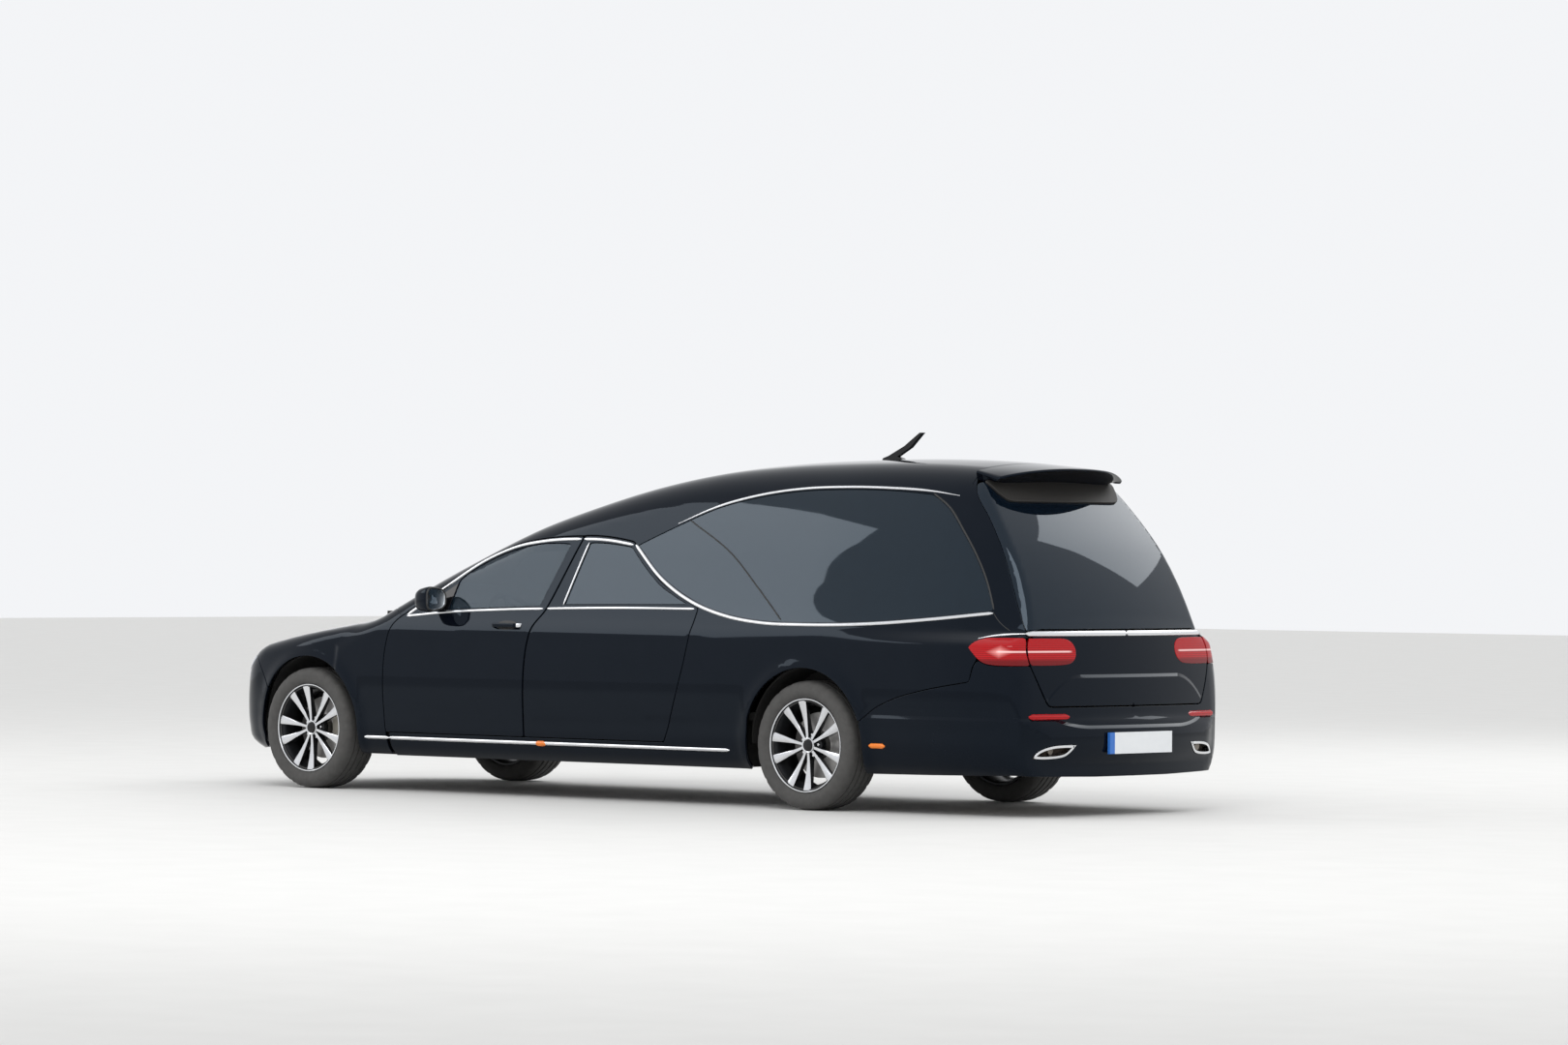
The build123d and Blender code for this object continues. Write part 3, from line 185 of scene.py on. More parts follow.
for name, place, size, watts in (("soft_key", (-7, 9, 9), (7, 5), 420), ("soft_fill", (9, 7, 7), (6, 5), 260),
                                 ("soft_back", (-2, -10, 8), (9, 4), 300)):
    lamp = bpy.data.lights.new(name, "AREA")
    lamp.shape, lamp.size, lamp.size_y, lamp.energy = "RECTANGLE", size[0], size[1], watts
    holder = bpy.data.objects.new(name, lamp)
    bpy.context.scene.collection.objects.link(holder)
    holder.location = place
    holder.rotation_euler = (LAMPS_AIM - Vector(place)).to_track_quat("-Z", "Y").to_euler()

# Body skin
# The shell is pressed steel with a coachbuilt roof, all in gloss black. Every outer panel is cut from one
# smooth skin: the surface where distance_inside is zero. Distances called s run back from the front axle.
FRONT_AXLE_X = 2.174
WHEELBASE = 3.690
WHEEL_Z = 0.339
ARCH_RADIUS = 0.405


class Profile:
    """A smooth line through a short table of (place, value)."""

    def __init__(self, *table):
        self.at, self.value = np.array(table, float).T
        step = np.diff(self.at)
        rise = np.diff(self.value) / step
        inner = (rise[:-1] * step[1:] + rise[1:] * step[:-1]) / (step[1:] + step[:-1])
        self.slope = np.concatenate([rise[:1], inner, rise[-1:]])

    def __call__(self, place):
        place = np.clip(place, self.at[0], self.at[-1])
        i = np.clip(np.searchsorted(self.at, place) - 1, 0, len(self.at) - 2)
        gap = self.at[i + 1] - self.at[i]
        t = (place - self.at[i]) / gap
        return ((1 + 2 * t) * (1 - t) ** 2 * self.value[i] + t * (1 - t) ** 2 * gap * self.slope[i]
                + t * t * (3 - 2 * t) * self.value[i + 1] + t * t * (t - 1) * gap * self.slope[i + 1])


# Columns: height, half width
side_profile = Profile(
    (0.10, 0.760), (0.195, 0.832), (0.235, 0.872), (0.300, 0.901), (0.45, 0.918), (0.60, 0.926), (0.75, 0.922),
    (0.855, 0.911), (0.94, 0.894), (1.010, 0.868), (1.20, 0.806), (1.40, 0.737), (1.55, 0.674), (1.70, 0.600),
    (1.86, 0.500), (2.05, 0.36))
# Columns: s, height of the roof's centre line
roof_profile = Profile(
    (-1.5, 0.58), (0.20, 1.100), (0.70, 1.262), (1.111, 1.388), (1.544, 1.534), (1.862, 1.625), (2.309, 1.732),
    (2.720, 1.797), (3.126, 1.829), (3.525, 1.842), (3.916, 1.845), (4.303, 1.833), (4.80, 1.790),
    (5.40, 1.71))
# Columns: s, height of the bonnet's centre line
bonnet_profile = Profile(
    (-1.10, 0.600), (-0.842, 0.735), (-0.620, 0.815), (-0.250, 0.905), (0.150, 0.972), (0.420, 1.008),
    (0.70, 1.03))
# Columns: height, s of the rear face at the centre
gate_profile = Profile(
    (0.10, 5.140), (0.56, 5.140), (0.72, 5.128), (0.85, 5.106), (1.020, 5.064), (1.364, 4.896), (1.67, 4.650),
    (1.95, 4.400))
# Columns: height, how far the nose leans back, and the same for the rear bumper
nose_lean = Profile(
    (0.12, 0.30), (0.195, 0.13), (0.26, 0.02), (0.34, 0.0), (0.56, 0.0), (0.69, 0.027), (0.78, 0.08),
    (0.95, 0.22))
tail_lean = Profile(
    (0.12, 0.30), (0.20, 0.12), (0.26, 0.045), (0.34, 0.006), (0.42, 0.0), (0.53, 0.004), (0.58, 0.02),
    (0.75, 0.12))


def rounded_min(a, b, radius):
    """The lesser of two distances, with the edge between them rounded."""
    h = np.clip(0.5 + 0.5 * (b - a) / radius, 0, 1)
    return b * (1 - h) + a * h - radius * h * (1 - h)


def rounded_max(a, b, radius):
    return -rounded_min(-a, -b, radius)


def ramp(value, low, high):
    t = np.clip((value - low) / (high - low), 0, 1)
    return t * t * (3 - 2 * t)


CREASE_Z, LOW_CREASE_Z = 0.888, 0.40
NOSE_S, TAIL_S = -0.842, 5.190
FLOOR_Z = 0.185
COWL_S, COWL_Z, SCREEN_RUN = 0.350, 1.010, 770 / 375
ROOF_FALL, BONNET_FALL = 0.15, 0.095


def half_width(s, z):
    """The side's half width: the profile, its crease under the handles, and the taper of both ends."""
    wide = side_profile(z)
    wide = wide - 0.055 * np.clip(s - 3.6, 0, None) ** 2 * ramp(z, 0.87, 0.96)
    wide = wide - 0.20 * np.clip(0.1 - s, 0, None) ** 2 - 0.20 * np.clip(s - 4.3, 0, None) ** 3
    below = np.clip(CREASE_Z + 0.012 * (s - 1.5) - z, 0, None)
    fade = ramp(s, -0.5, 0.1) * (1 - ramp(s, 2.7, 3.1))
    wide = wide - 0.16 * fade * below * np.exp(-below / 0.045)
    low = np.clip(LOW_CREASE_Z + 0.03 * (s - 0.6) - z, 0, None)
    wide = wide - 0.10 * ramp(s, 0.5, 0.9) * (1 - ramp(s, 2.9, 3.2)) * low * np.exp(-low / 0.05)
    for axle in (0.0, WHEELBASE):
        away = np.hypot(s - axle, z - WHEEL_Z) - ARCH_RADIUS
        wide = wide + 0.010 * np.exp(-(np.clip(away, 0, None) / 0.045) ** 2)
    return wide


def crown(y, fall):
    """How far the roof or the bonnet has fallen at a distance from the middle."""
    return fall * (y / 0.96) ** 2


def distance_inside(x, y, z):
    """About how deep a point lies inside the car's skin; negative outside."""
    s = FRONT_AXLE_X - x
    y = np.abs(y)
    side = half_width(s, z) - y
    under = z - FLOOR_Z
    roof = roof_profile(s) - crown(y, ROOF_FALL) - z
    screen = (s - COWL_S - (z - COWL_Z) * SCREEN_RUN - 0.345 * y * y) * 0.438
    gate = (gate_profile(z) - 0.1246 * y * y - s) * 0.86
    cabin = rounded_min(rounded_min(side, roof, 0.12), screen, 0.07)
    cabin = np.minimum(rounded_min(cabin, gate, 0.03), s - 0.25)
    bonnet = bonnet_profile(s) - crown(y, BONNET_FALL) - z
    nose = s - NOSE_S - 0.34 * y * y - nose_lean(z)
    hull = rounded_min(rounded_min(side, bonnet, 0.07), nose, 0.13)
    hull = rounded_min(hull, gate, 0.10)
    tail = TAIL_S - 0.16 * y * y - tail_lean(z) - s
    bumper = np.minimum(rounded_min(rounded_min(side, 0.566 - z, 0.03), tail, 0.16), s - 3.6)
    whole = rounded_max(rounded_max(cabin, hull, 0.03), bumper, 0.012)
    return rounded_min(whole, under, 0.03)


def skin_normals(points):
    """Outward normals of the skin."""
    step = 4e-4
    grads = []
    for axis in range(3):
        shift = np.zeros(3)
        shift[axis] = step
        grads.append(distance_inside(*(points - shift).T) - distance_inside(*(points + shift).T))
    normals = np.array(grads).T
    return normals / np.maximum(np.linalg.norm(normals, axis=1, keepdims=True), 1e-9)


def columns(*values):
    """Points from their coordinates, of which each is one number or a row of numbers."""
    return np.stack(np.broadcast_arrays(*values), -1)


def onto_skin(start, heading, reach=2.0, halvings=34):
    """The points where rays from inside the car leave its skin, by halving."""
    heading = np.array(heading, float)
    low, high = np.zeros(len(start)), np.full(len(start), reach)
    for _ in range(halvings):
        middle = (low + high) / 2
        inside = distance_inside(*(start + heading * middle[:, None]).T) > 0
        low, high = np.where(inside, middle, low), np.where(inside, high, middle)
    return start + heading * low[:, None]


def on_side(line):
    """(s, z) to the left side."""
    s, z = np.array(line, float).T
    return onto_skin(columns(FRONT_AXLE_X - s, 0.02, z), (0, 1, 0), 1.2)


def on_top(line):
    """(s, y) to the roof or bonnet."""
    s, y = np.array(line, float).T
    return onto_skin(columns(FRONT_AXLE_X - s, y, 0.45), (0, 0, 1), 1.6)


class Map:
    """A flat map of part of the skin, in metres: rays from inside the car carry it onto the skin."""

    spread = 0.9

    def __call__(self, flat):
        return onto_skin(*self.rays(*flat.T))

    def line(self, *legs):
        """Legs that lie on the skin, as one line of the map."""
        return np.vstack([self.flat(leg) for leg in legs])


class Fan(Map):
    """One whole side with the roof: (s, distance round), with rays across the car from a low axis."""

    axis_y, axis_z = 0.2, 0.7

    def rays(self, s, run):
        angle = run / self.spread
        return columns(FRONT_AXLE_X - s, self.axis_y, self.axis_z), columns(0.0, np.cos(angle), np.sin(angle))

    def flat(self, spots):
        x, y, z = spots.T
        return columns(FRONT_AXLE_X - x, np.arctan2(z - self.axis_z, y - self.axis_y) * self.spread)


fan = Fan()


def flowing(points, step=0.014):
    """A closed outline through points: smooth, except at corners, which have a third value."""
    flat = [np.array(p[:2], float) for p in points]
    sharp = [len(p) > 2 for p in points]
    count = len(points)
    line = []
    for i in range(count):
        a, b = flat[i], flat[(i + 1) % count]
        before = flat[i - 1] if not sharp[i] else None
        after = flat[(i + 2) % count] if not sharp[(i + 1) % count] else None
        run = np.linalg.norm(b - a)
        start = (b - a) if before is None else (b - before) * run / (run + np.linalg.norm(a - before))
        end = (b - a) if after is None else (after - a) * run / (run + np.linalg.norm(after - b))
        if before is None and after is not None:
            start = 2 * (b - a) - end
        if after is None and before is not None:
            end = 2 * (b - a) - start
        if before is None and after is None:
            start = end = b - a
        for t in np.arange(0, 1, min(0.5, step / max(run, 1e-6))):
            line.append((1 + 2 * t) * (1 - t) ** 2 * a + t * (1 - t) ** 2 * start
                        + t * t * (3 - 2 * t) * b + t * t * (t - 1) * end)
    return np.array(line)


def even(line, step=0.014, closed=True):
    """The same line with its points evenly spaced."""
    ring = np.vstack([line, line[:1]]) if closed else np.array(line)
    along = np.concatenate([[0], np.cumsum(np.linalg.norm(np.diff(ring, axis=0), axis=1))])
    count = max(8, int(along[-1] / step))
    places = np.linspace(0, along[-1], count, endpoint=not closed)
    return np.column_stack([np.interp(places, along, ring[:, k]) for k in range(ring.shape[1])])


def area_of(line):
    x, y = line[:, 0], line[:, 1]
    return 0.5 * np.sum(x * np.roll(y, -1) - np.roll(x, -1) * y)


def grown(line, amount):
    """A closed outline moved outwards by an amount, or inwards if it is negative."""
    ahead, behind = np.roll(line, -1, axis=0), np.roll(line, 1, axis=0)
    along = ahead - behind
    along /= np.maximum(np.linalg.norm(along, axis=1, keepdims=True), 1e-9)
    sign = 1 if area_of(line) > 0 else -1
    return line + amount * sign * np.column_stack([along[:, 1], -along[:, 0]])


def inside_line(points, line):
    """Which points lie inside a closed outline."""
    x, y = points[:, 0][:, None], points[:, 1][:, None]
    x1, y1 = line[:, 0], line[:, 1]
    x2, y2 = np.roll(x1, -1), np.roll(y1, -1)
    crossing = (y1 > y) != (y2 > y)
    with np.errstate(divide="ignore", invalid="ignore"):
        at = (x2 - x1) * (y - y1) / (y2 - y1) + x1
    return (np.sum(crossing & (x < at), axis=1) % 2) == 1


def between(points, outline, *holes):
    """Which points lie inside an outline and outside its holes."""
    keep = inside_line(points, outline)
    for hole in holes:
        keep &= ~inside_line(points, hole)
    return keep


def near_line(points, line, limit):
    """Which points lie within a limit of an outline."""
    close = np.zeros(len(points), bool)
    for k in range(0, len(line), 400):
        part = line[k:k + 400]
        close |= (np.min(np.sum((points[:, None, :] - part[None]) ** 2, axis=2), axis=1) < limit * limit)
    return close


LINE_STEP = 0.012


def cut_sheet(outline, holes=(), step=0.022):
    """Triangles that fill an outline except for its holes: points, faces and the loops of edge points."""
    loops = [even(loop, LINE_STEP) for loop in (outline, *holes)]
    loops = [loop if (area_of(loop) > 0) == (k == 0) else loop[::-1] for k, loop in enumerate(loops)]
    low, high = loops[0].min(axis=0), loops[0].max(axis=0)
    sides = (np.arange(a, b, step) for a, b in zip(low, high))
    grid = np.stack(np.meshgrid(*sides), -1).reshape(-1, 2)
    grid = grid[between(grid, *loops)]
    for loop in loops:
        grid = grid[~near_line(grid, loop, step * 0.55)]
    points = np.vstack(loops + [grid])
    edges, rings, first = [], [], 0
    for loop in loops:
        ring = list(range(first, first + len(loop)))
        edges += zip(ring, ring[1:] + ring[:1])
        rings.append(ring)
        first += len(loop)
    found = delaunay_2d_cdt([Vector(p) for p in points], edges, [], 0, 1e-7)
    spots = np.array([v[:] for v in found[0]])
    faces = np.array([f for f in found[2] if len(f) == 3])
    keep = between(spots[faces].mean(axis=1), *loops)
    a, b, c = (spots[faces[:, k]] for k in range(3))
    turn = (b[:, 0] - a[:, 0]) * (c[:, 1] - a[:, 1]) - (b[:, 1] - a[:, 1]) * (c[:, 0] - a[:, 0])
    faces = np.where((turn > 0)[:, None], faces, faces[:, ::-1])
    new_place = {}
    for new, olds in enumerate(found[3]):
        for old in olds:
            new_place[old] = new
    rings = [[new_place[k] for k in ring] for ring in rings]
    return spots, faces[keep], rings


class Body:
    """The mesh of one piece: points with a normal each, and faces with a number in its list of finishes."""

    def __init__(self):
        self.points, self.normals, self.faces, self.finish = [], [], [], []

    def add(self, points, normals, faces, finish=0):
        first = len(self.points)
        self.points += [tuple(p) for p in points]
        self.normals += [tuple(n) for n in normals]
        self.faces += [tuple(int(k) + first for k in face) for face in faces]
        self.finish += [finish] * len(faces)
        return first

    def take(self, *others):
        """Adds other bodies, with their own finishes."""
        for other in others:
            self.add(other.points, other.normals, other.faces)
            self.finish[-len(other.faces):] = other.finish
        return self

    def mirror(self):
        """Adds the other side of the car. Points on the middle plane are shared."""
        count = len(self.points)
        twin = []
        for k in range(count):
            x, y, z = self.points[k]
            if abs(y) < 1e-7:
                twin.append(k)
            else:
                twin.append(len(self.points))
                self.points.append((x, -y, z))
                self.normals.append((self.normals[k][0], -self.normals[k][1], self.normals[k][2]))
        for k in range(len(self.faces)):
            self.faces.append(tuple(twin[i] for i in reversed(self.faces[k])))
            self.finish.append(self.finish[k])
        return self

    def flipped(self):
        """The same piece for the other side only."""
        other = Body()
        other.points = [(x, -y, z) for x, y, z in self.points]
        other.normals = [(x, -y, z) for x, y, z in self.normals]
        other.faces = [tuple(reversed(face)) for face in self.faces]
        other.finish = list(self.finish)
        return other


def mesh_of(name, body):
    mesh = bpy.data.meshes.new(name)
    mesh.from_pydata(body.points, [], body.faces)
    mesh.polygons.foreach_set("material_index", body.finish)
    return mesh


def make_piece(name, shape, finishes, rides, replaces=(), sharp=None):
    """Turns a Body or a mesh into a piece of the car.

    A Body keeps its own normals, unless sharp is given: then normals come from the faces, and edges sharper
    than that angle stay sharp. At 180 degrees the mesh is taken as it is.
    """
    mesh = mesh_of(name, shape) if isinstance(shape, Body) else shape
    if sharp and sharp < 180:
        work = bmesh.new()
        work.from_mesh(mesh)
        bmesh.ops.remove_doubles(work, verts=work.verts, dist=1e-6)
        bmesh.ops.recalc_face_normals(work, faces=work.faces)
        work.to_mesh(mesh)
        work.free()
    for finish in finishes:
        mesh.materials.append(finish)
    mesh.polygons.foreach_set("use_smooth", [True] * len(mesh.polygons))
    if sharp:
        mesh.set_sharp_from_angle(angle=math.radians(sharp))
    else:
        mesh.normals_split_custom_set_from_vertices([Vector(n).normalized() for n in shape.normals])
    mesh.update()
    piece = bpy.data.objects.new(name, mesh)
    bpy.context.scene.collection.objects.link(piece)
    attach(piece, rides)
    if replaces:
        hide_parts(*replaces)
    return piece


EDGE_ROUND = 0.0028
MIDDLE_REACH = 0.0045


def panel(body, surface, outline, holes=(), depth=0.02, step=0.022, inner=1, edge=EDGE_ROUND, lip=None,
          sink=0.0):
    """Adds a closed panel: the skin inside an outline, its rounded edge, its return and its inner face.

    depth is the thickness, as a number or as a function of the map's coordinates. lip is how far down the
    return steps in behind the skin and by how much. inner is the number of the inner face's finish. An edge
    on the car's middle plane is left open for the mirrored half.
    """
    outline = grown(even(outline, LINE_STEP), -edge)
    holes = [grown(even(hole, LINE_STEP), edge) for hole in holes]
    flat, faces, rings = cut_sheet(outline, holes, step)
    spots = surface(flat)
    normals = skin_normals(spots)
    middle = np.abs(spots[:, 1]) < MIDDLE_REACH
    spots[middle, 1] = 0.0
    normals[middle, 1] = 0.0
    spots = spots - normals * sink
    corner = spots[faces[0]]
    turned = np.dot(np.cross(corner[1] - corner[0], corner[2] - corner[0]), normals[faces[0][0]]) < 0
    if turned:
        faces = faces[:, ::-1]
    deep = depth(flat[:, 0], flat[:, 1]) if callable(depth) else np.full(len(flat), float(depth))
    first = body.add(spots, normals, faces)
    inner_index = {}
    for ring in rings:
        ring = ring[::-1] if turned else ring
        count = len(ring)
        here, facing, shut = spots[ring], normals[ring], middle[ring]
        ahead, behind = np.roll(here, -1, axis=0), np.roll(here, 1, axis=0)
        ahead = np.where((shut & np.roll(shut, -1))[:, None], here, ahead)
        behind = np.where((shut & np.roll(shut, 1))[:, None], here, behind)
        out = np.cross(ahead - behind, facing)
        out[shut, 1] = 0.0
        out /= np.maximum(np.linalg.norm(out, axis=1, keepdims=True), 1e-9)
        down = facing * deep[ring][:, None]
        rows = [(here + out * edge * 0.7 - facing * edge * 0.3, out + facing),
                (here + out * edge - facing * edge, out)]
        foot = out * edge
        if lip:
            low, back = lip
            foot = out * (edge - back)
            rows += [(here + out * edge - facing * low, out), (here + foot - facing * (low + 0.001), -facing)]
        rows.append((here + foot - down, out - facing))
        previous = [first + k for k in ring]
        for row, turn in rows:
            start = body.add(row, turn, [])
            current = list(range(start, start + count))
            for k in range(count):
                after = (k + 1) % count
                if not (shut[k] and shut[after]):
                    body.faces.append((previous[k], current[k], current[after], previous[after]))
                    body.finish.append(0)
            previous = current
        inner_index.update(zip(ring, previous))
    rest = [k for k in range(len(spots)) if k not in inner_index]
    start = body.add(spots[rest] - normals[rest] * deep[rest][:, None], -normals[rest], [])
    inner_index.update((k, start + place) for place, k in enumerate(rest))
    for face in faces[:, ::-1]:
        body.faces.append(tuple(inner_index[k] for k in face))
        body.finish.append(inner)
    return body


def nearest(line, spot):
    return int(np.argmin(np.sum((line - np.array(spot)) ** 2, axis=1)))


def stretch(line, start, end):
    """The part of a closed line from near one point to near another, in the line's own order."""
    first, last = nearest(line, start), nearest(line, end)
    return line[first:last + 1] if last >= first else np.vstack([line[first:], line[:last + 1]])


def straight(*points, step=0.01):
    """Points along straight legs."""
    legs = []
    for a, b in zip(points[:-1], points[1:]):
        a, b = np.array(a, float), np.array(b, float)
        count = max(2, int(np.linalg.norm(b - a) / step))
        legs.append(a + (b - a) * np.linspace(0, 1, count, endpoint=False)[:, None])
    return np.vstack(legs + [np.array([points[-1]], float)])


def smooth(*points, step=0.01):
    """A smooth open line through points."""
    table = np.array(points, float)
    along = np.concatenate([[0], np.cumsum(np.linalg.norm(np.diff(table, axis=0), axis=1))])
    places = np.linspace(0, along[-1], max(3, int(along[-1] / step)))
    return np.column_stack([Profile(*zip(along, table[:, k]))(places) for k in range(table.shape[1])])


def arch(axle_s, start, end, radius=ARCH_RADIUS):
    """Part of a wheel arch in (s, z); angles are from the front, over the top, to the back."""
    angle = np.radians(np.linspace(start, end, 60))
    return np.column_stack([axle_s - radius * np.cos(angle), WHEEL_Z + radius * np.sin(angle)])


# Paint: solid black under clear lacquer, with a very faint unevenness as sprayed and polished paint has.
def black_paint(name, ledge_height=None):
    """With ledge_height(y), a pressed ledge runs across the panel at that height."""
    # The blue specular tint is a painted reflection: it colours the paint's reflections blue, as of a sky.
    paint = Finish(name, IOR=1.5, Specular_IOR_Level=0.17, Specular_Tint=(0.62, 0.80, 1.0, 1))
    dust = paint.noise(9.0, 4.0)
    paint.feed("Base Color", paint.mixed(dust, (0.0020, 0.0030, 0.0058), (0.0034, 0.0045, 0.0078)))
    paint.feed("Roughness", 0.035 + 0.03 * dust)
    if ledge_height:
        y, z = paint.axes()[1:]
        paint.bump(((ledge_height(y.size()) - z) * 60.0 + 0.5).clipped(), 1.0, 0.010)
    return paint.material


PAINT = black_paint("gloss_black_paint")
TRIM_BLACK = uneven("black_moulding", (0.012, 0.012, 0.012), (0.022, 0.022, 0.022), 240.0, 2.0,
                    bump=(900.0, 2.0, 0.25, 0.0004), Roughness=0.5).material

# Coachwork
# One steel and composite skin: sills, cant rails, quarters and the raised roof, in gloss black. The door
# openings, the lens windows, the screen and the gate are cut from it.
def skin_piece(name, surface, outline, finishes, rides, slot, replaces=(), holes=(), **form):
    """A panel and its mirror image in one piece. The last finish is that of the inner face."""
    body = panel(Body(), surface, outline, holes, inner=len(finishes) - 1, **form)
    return make_piece(name, body.mirror(), finishes, rides, replaces)


# Side view, (s, z) in metres; a third value marks a corner.
FRONT_DOOR = flowing([
    (0.622, 0.332, 1), (0.612, 0.70), (0.640, 0.900), (0.728, 0.986, 1), (0.984, 1.147), (1.253, 1.311),
    (1.446, 1.377), (1.649, 1.409), (1.938, 1.422, 1), (1.922, 1.380), (1.782, 1.030), (1.712, 0.930),
    (1.683, 0.800), (1.671, 0.400), (1.672, 0.332, 1)])
REAR_DOOR = flowing([
    (1.682, 0.332, 1), (1.681, 0.400), (1.693, 0.800), (1.722, 0.930), (1.792, 1.030), (1.932, 1.380),
    (1.948, 1.424, 1), (2.120, 1.419), (2.320, 1.392, 1), (2.560, 1.194), (2.700, 1.122), (2.884, 1.046, 1),
    (2.884, 1.026), (2.874, 0.934), (2.839, 0.728), (2.738, 0.417), (2.700, 0.332, 1)])
LOAD_WINDOW = flowing([
    (2.352, 1.374, 1), (2.606, 1.482), (2.853, 1.576), (3.127, 1.636), (3.410, 1.668), (3.702, 1.677),
    (3.996, 1.672), (4.290, 1.650, 1), (4.420, 1.575), (4.540, 1.460), (4.640, 1.348), (4.745, 1.195),
    (4.812, 1.056, 1), (4.509, 1.022), (4.038, 0.988), (3.652, 0.981), (3.354, 0.987), (3.085, 1.020),
    (2.843, 1.086), (2.579, 1.210)])
GATE_SIDE = smooth(
    (4.512, 1.760), (4.556, 1.670), (4.684, 1.525), (4.800, 1.364), (4.885, 1.200), (4.970, 1.020),
    (5.020, 0.935), (5.036, 0.915))
GAP = 0.0045
front_aperture = grown(even(FRONT_DOOR, 0.01), GAP)
rear_aperture = grown(even(REAR_DOOR, 0.01), GAP)
over_front = stretch(front_aperture, (0.725, 0.992), (1.938, 1.427))
over_rear = stretch(rear_aperture, (1.955, 1.428), (2.700, 0.328))
SCREEN_TOP_S, GATE_TOP_S = 1.075, 4.507
screen_side = smooth((0.600, 0.800), (0.720, 0.786), (0.900, 0.748), (1.030, 0.700))
screen_top = smooth((1.050, 0.660), (SCREEN_TOP_S, 0.500), (SCREEN_TOP_S + 0.012, 0.250),
                    (SCREEN_TOP_S + 0.015, 0.0))
LAMP_TOP = smooth((4.775, 0.867), (4.795, 0.897), (4.830, 0.914), (4.900, 0.918), (5.036, 0.918),
                  step=0.006)
LAMP_BOTTOM = smooth((4.775, 0.867), (4.800, 0.842), (4.832, 0.812), (4.868, 0.790), (4.920, 0.780),
                     (4.980, 0.777), step=0.006)
BUMPER_TOP = smooth((4.078, 0.470), (4.180, 0.540), (4.300, 0.590), (4.500, 0.640), (4.790, 0.690))
coach_line = fan.line(
    on_side(straight((0.640, 0.200), (0.640, 0.327), (1.672, 0.327), (2.704, 0.327))),
    on_side(over_rear[::-1]), on_side(over_front[::-1]), on_side(straight((0.725, 0.985), (0.690, 0.982))),
    on_top(straight((0.634, 0.844), (0.607, 0.813))), on_top(screen_side), on_top(screen_top),
    on_top(straight((1.1, 0.0), (4.5, 0.0), step=0.05)),
    on_top(straight((GATE_TOP_S, 0.0), (GATE_TOP_S, 0.552))),
    on_side(GATE_SIDE[:-1] - (GAP, 0)), on_side(LAMP_TOP[::-1]), on_side(LAMP_BOTTOM[1:12]),
    on_side(straight((4.828, 0.806), (4.806, 0.768))), on_side(BUMPER_TOP[::-1] + (0, 0.004)),
    on_side(arch(WHEELBASE, 161, 19)), on_side(straight((3.290, 0.30), (3.275, 0.200))))
skin_piece("coachwork", fan, coach_line, [PAINT, TRIM_BLACK], "body", "body_paint", ("side_panels", "roof"),
           [fan.line(on_side(even(LOAD_WINDOW, 0.01)))], depth=0.018, step=0.03)

# Front wings and bonnet
# Pressed aluminium panels in the body colour; the wings wrap over from the wheel arch to the bonnet's edge.
# The wings are bolted to the shell, and the bonnet turns on hinges at its rear edge.
BONNET_SIDE = smooth((0.337, 0.772), (0.190, 0.772), (-0.300, 0.735), (-0.600, 0.628))
HEADLAMP_TIP = (-0.470, 0.735)
wing_line = fan.line(
    on_side(straight((0.617, 0.208), (0.617, 0.330))),
    on_side(stretch(front_aperture, (0.617, 0.332), (0.722, 0.988))),
    on_side(straight((0.700, 0.985), (0.690, 0.984))),
    on_top(straight((0.628, 0.842), (0.600, 0.812), (0.470, 0.790), (0.343, 0.777))),
    on_top(BONNET_SIDE + (0, 0.005)), on_side(straight((-0.560, 0.750), HEADLAMP_TIP, (-0.340, 0.560))),
    on_side(arch(0.0, 33, 198)), on_side(straight((0.390, 0.206), (0.617, 0.206))))
skin_piece("front_wings_skin", fan, wing_line, [PAINT, TRIM_BLACK], "body", "body_paint", ("front_wings",),
           depth=0.018, step=0.025)
bonnet_line = np.vstack([
    straight((-0.765, 0.0), (-0.752, 0.20)), smooth((-0.752, 0.20), (-0.700, 0.42), (-0.605, 0.622)),
    BONNET_SIDE[::-1], straight((0.337, 0.772), (0.337, 0.0), (-0.765, 0.0), step=0.03)[:-1]])
skin_piece("bonnet_skin", on_top, bonnet_line, [PAINT, TRIM_BLACK], "bonnet", "body_paint", ("bonnet",),
           depth=0.022, step=0.03)

# Cowl panel
# The grained plastic moulding between the bonnet and the foot of the screen. It lies a little lower than both
# and is clipped over the air intake.
GRAINED = uneven("grained_housing", (0.010, 0.009, 0.008), (0.026, 0.024, 0.021), 260.0, 2.0,
                 bump=(700.0, 2.0, 0.4, 0.0006), Roughness=0.62).material
cowl_line = np.vstack([
    straight((0.343, 0.0), (0.343, 0.768)), straight((0.350, 0.774), (0.470, 0.784), (0.597, 0.803)),
    smooth((0.603, 0.786), (0.558, 0.682), (0.450, 0.42), (0.396, 0.20), (0.383, 0.0))[1:],
    straight((0.374, 0.0), (0.352, 0.0), step=0.02)])
skin_piece("cowl_panel", on_top, cowl_line, [GRAINED], "body", "black_plastic",
           depth=0.012, step=0.02, sink=0.005)

# Doors
# Pressed steel doors with a full frame round the glass, in the body colour. Each outer skin is hemmed, so
# that its edge steps in behind it, and each door hangs on hinges at its front edge.
def both_sides(name, body, finishes, rides, replaces=(), sharp=None):
    """The left piece and its mirror image on the right. A star in a name stands for the side."""
    for side, shape in (("left", body), ("right", body.flipped())):
        make_piece(name.replace("*", side), shape, finishes, rides.replace("*", side),
                   tuple(node.replace("*", side) for node in replaces), sharp)


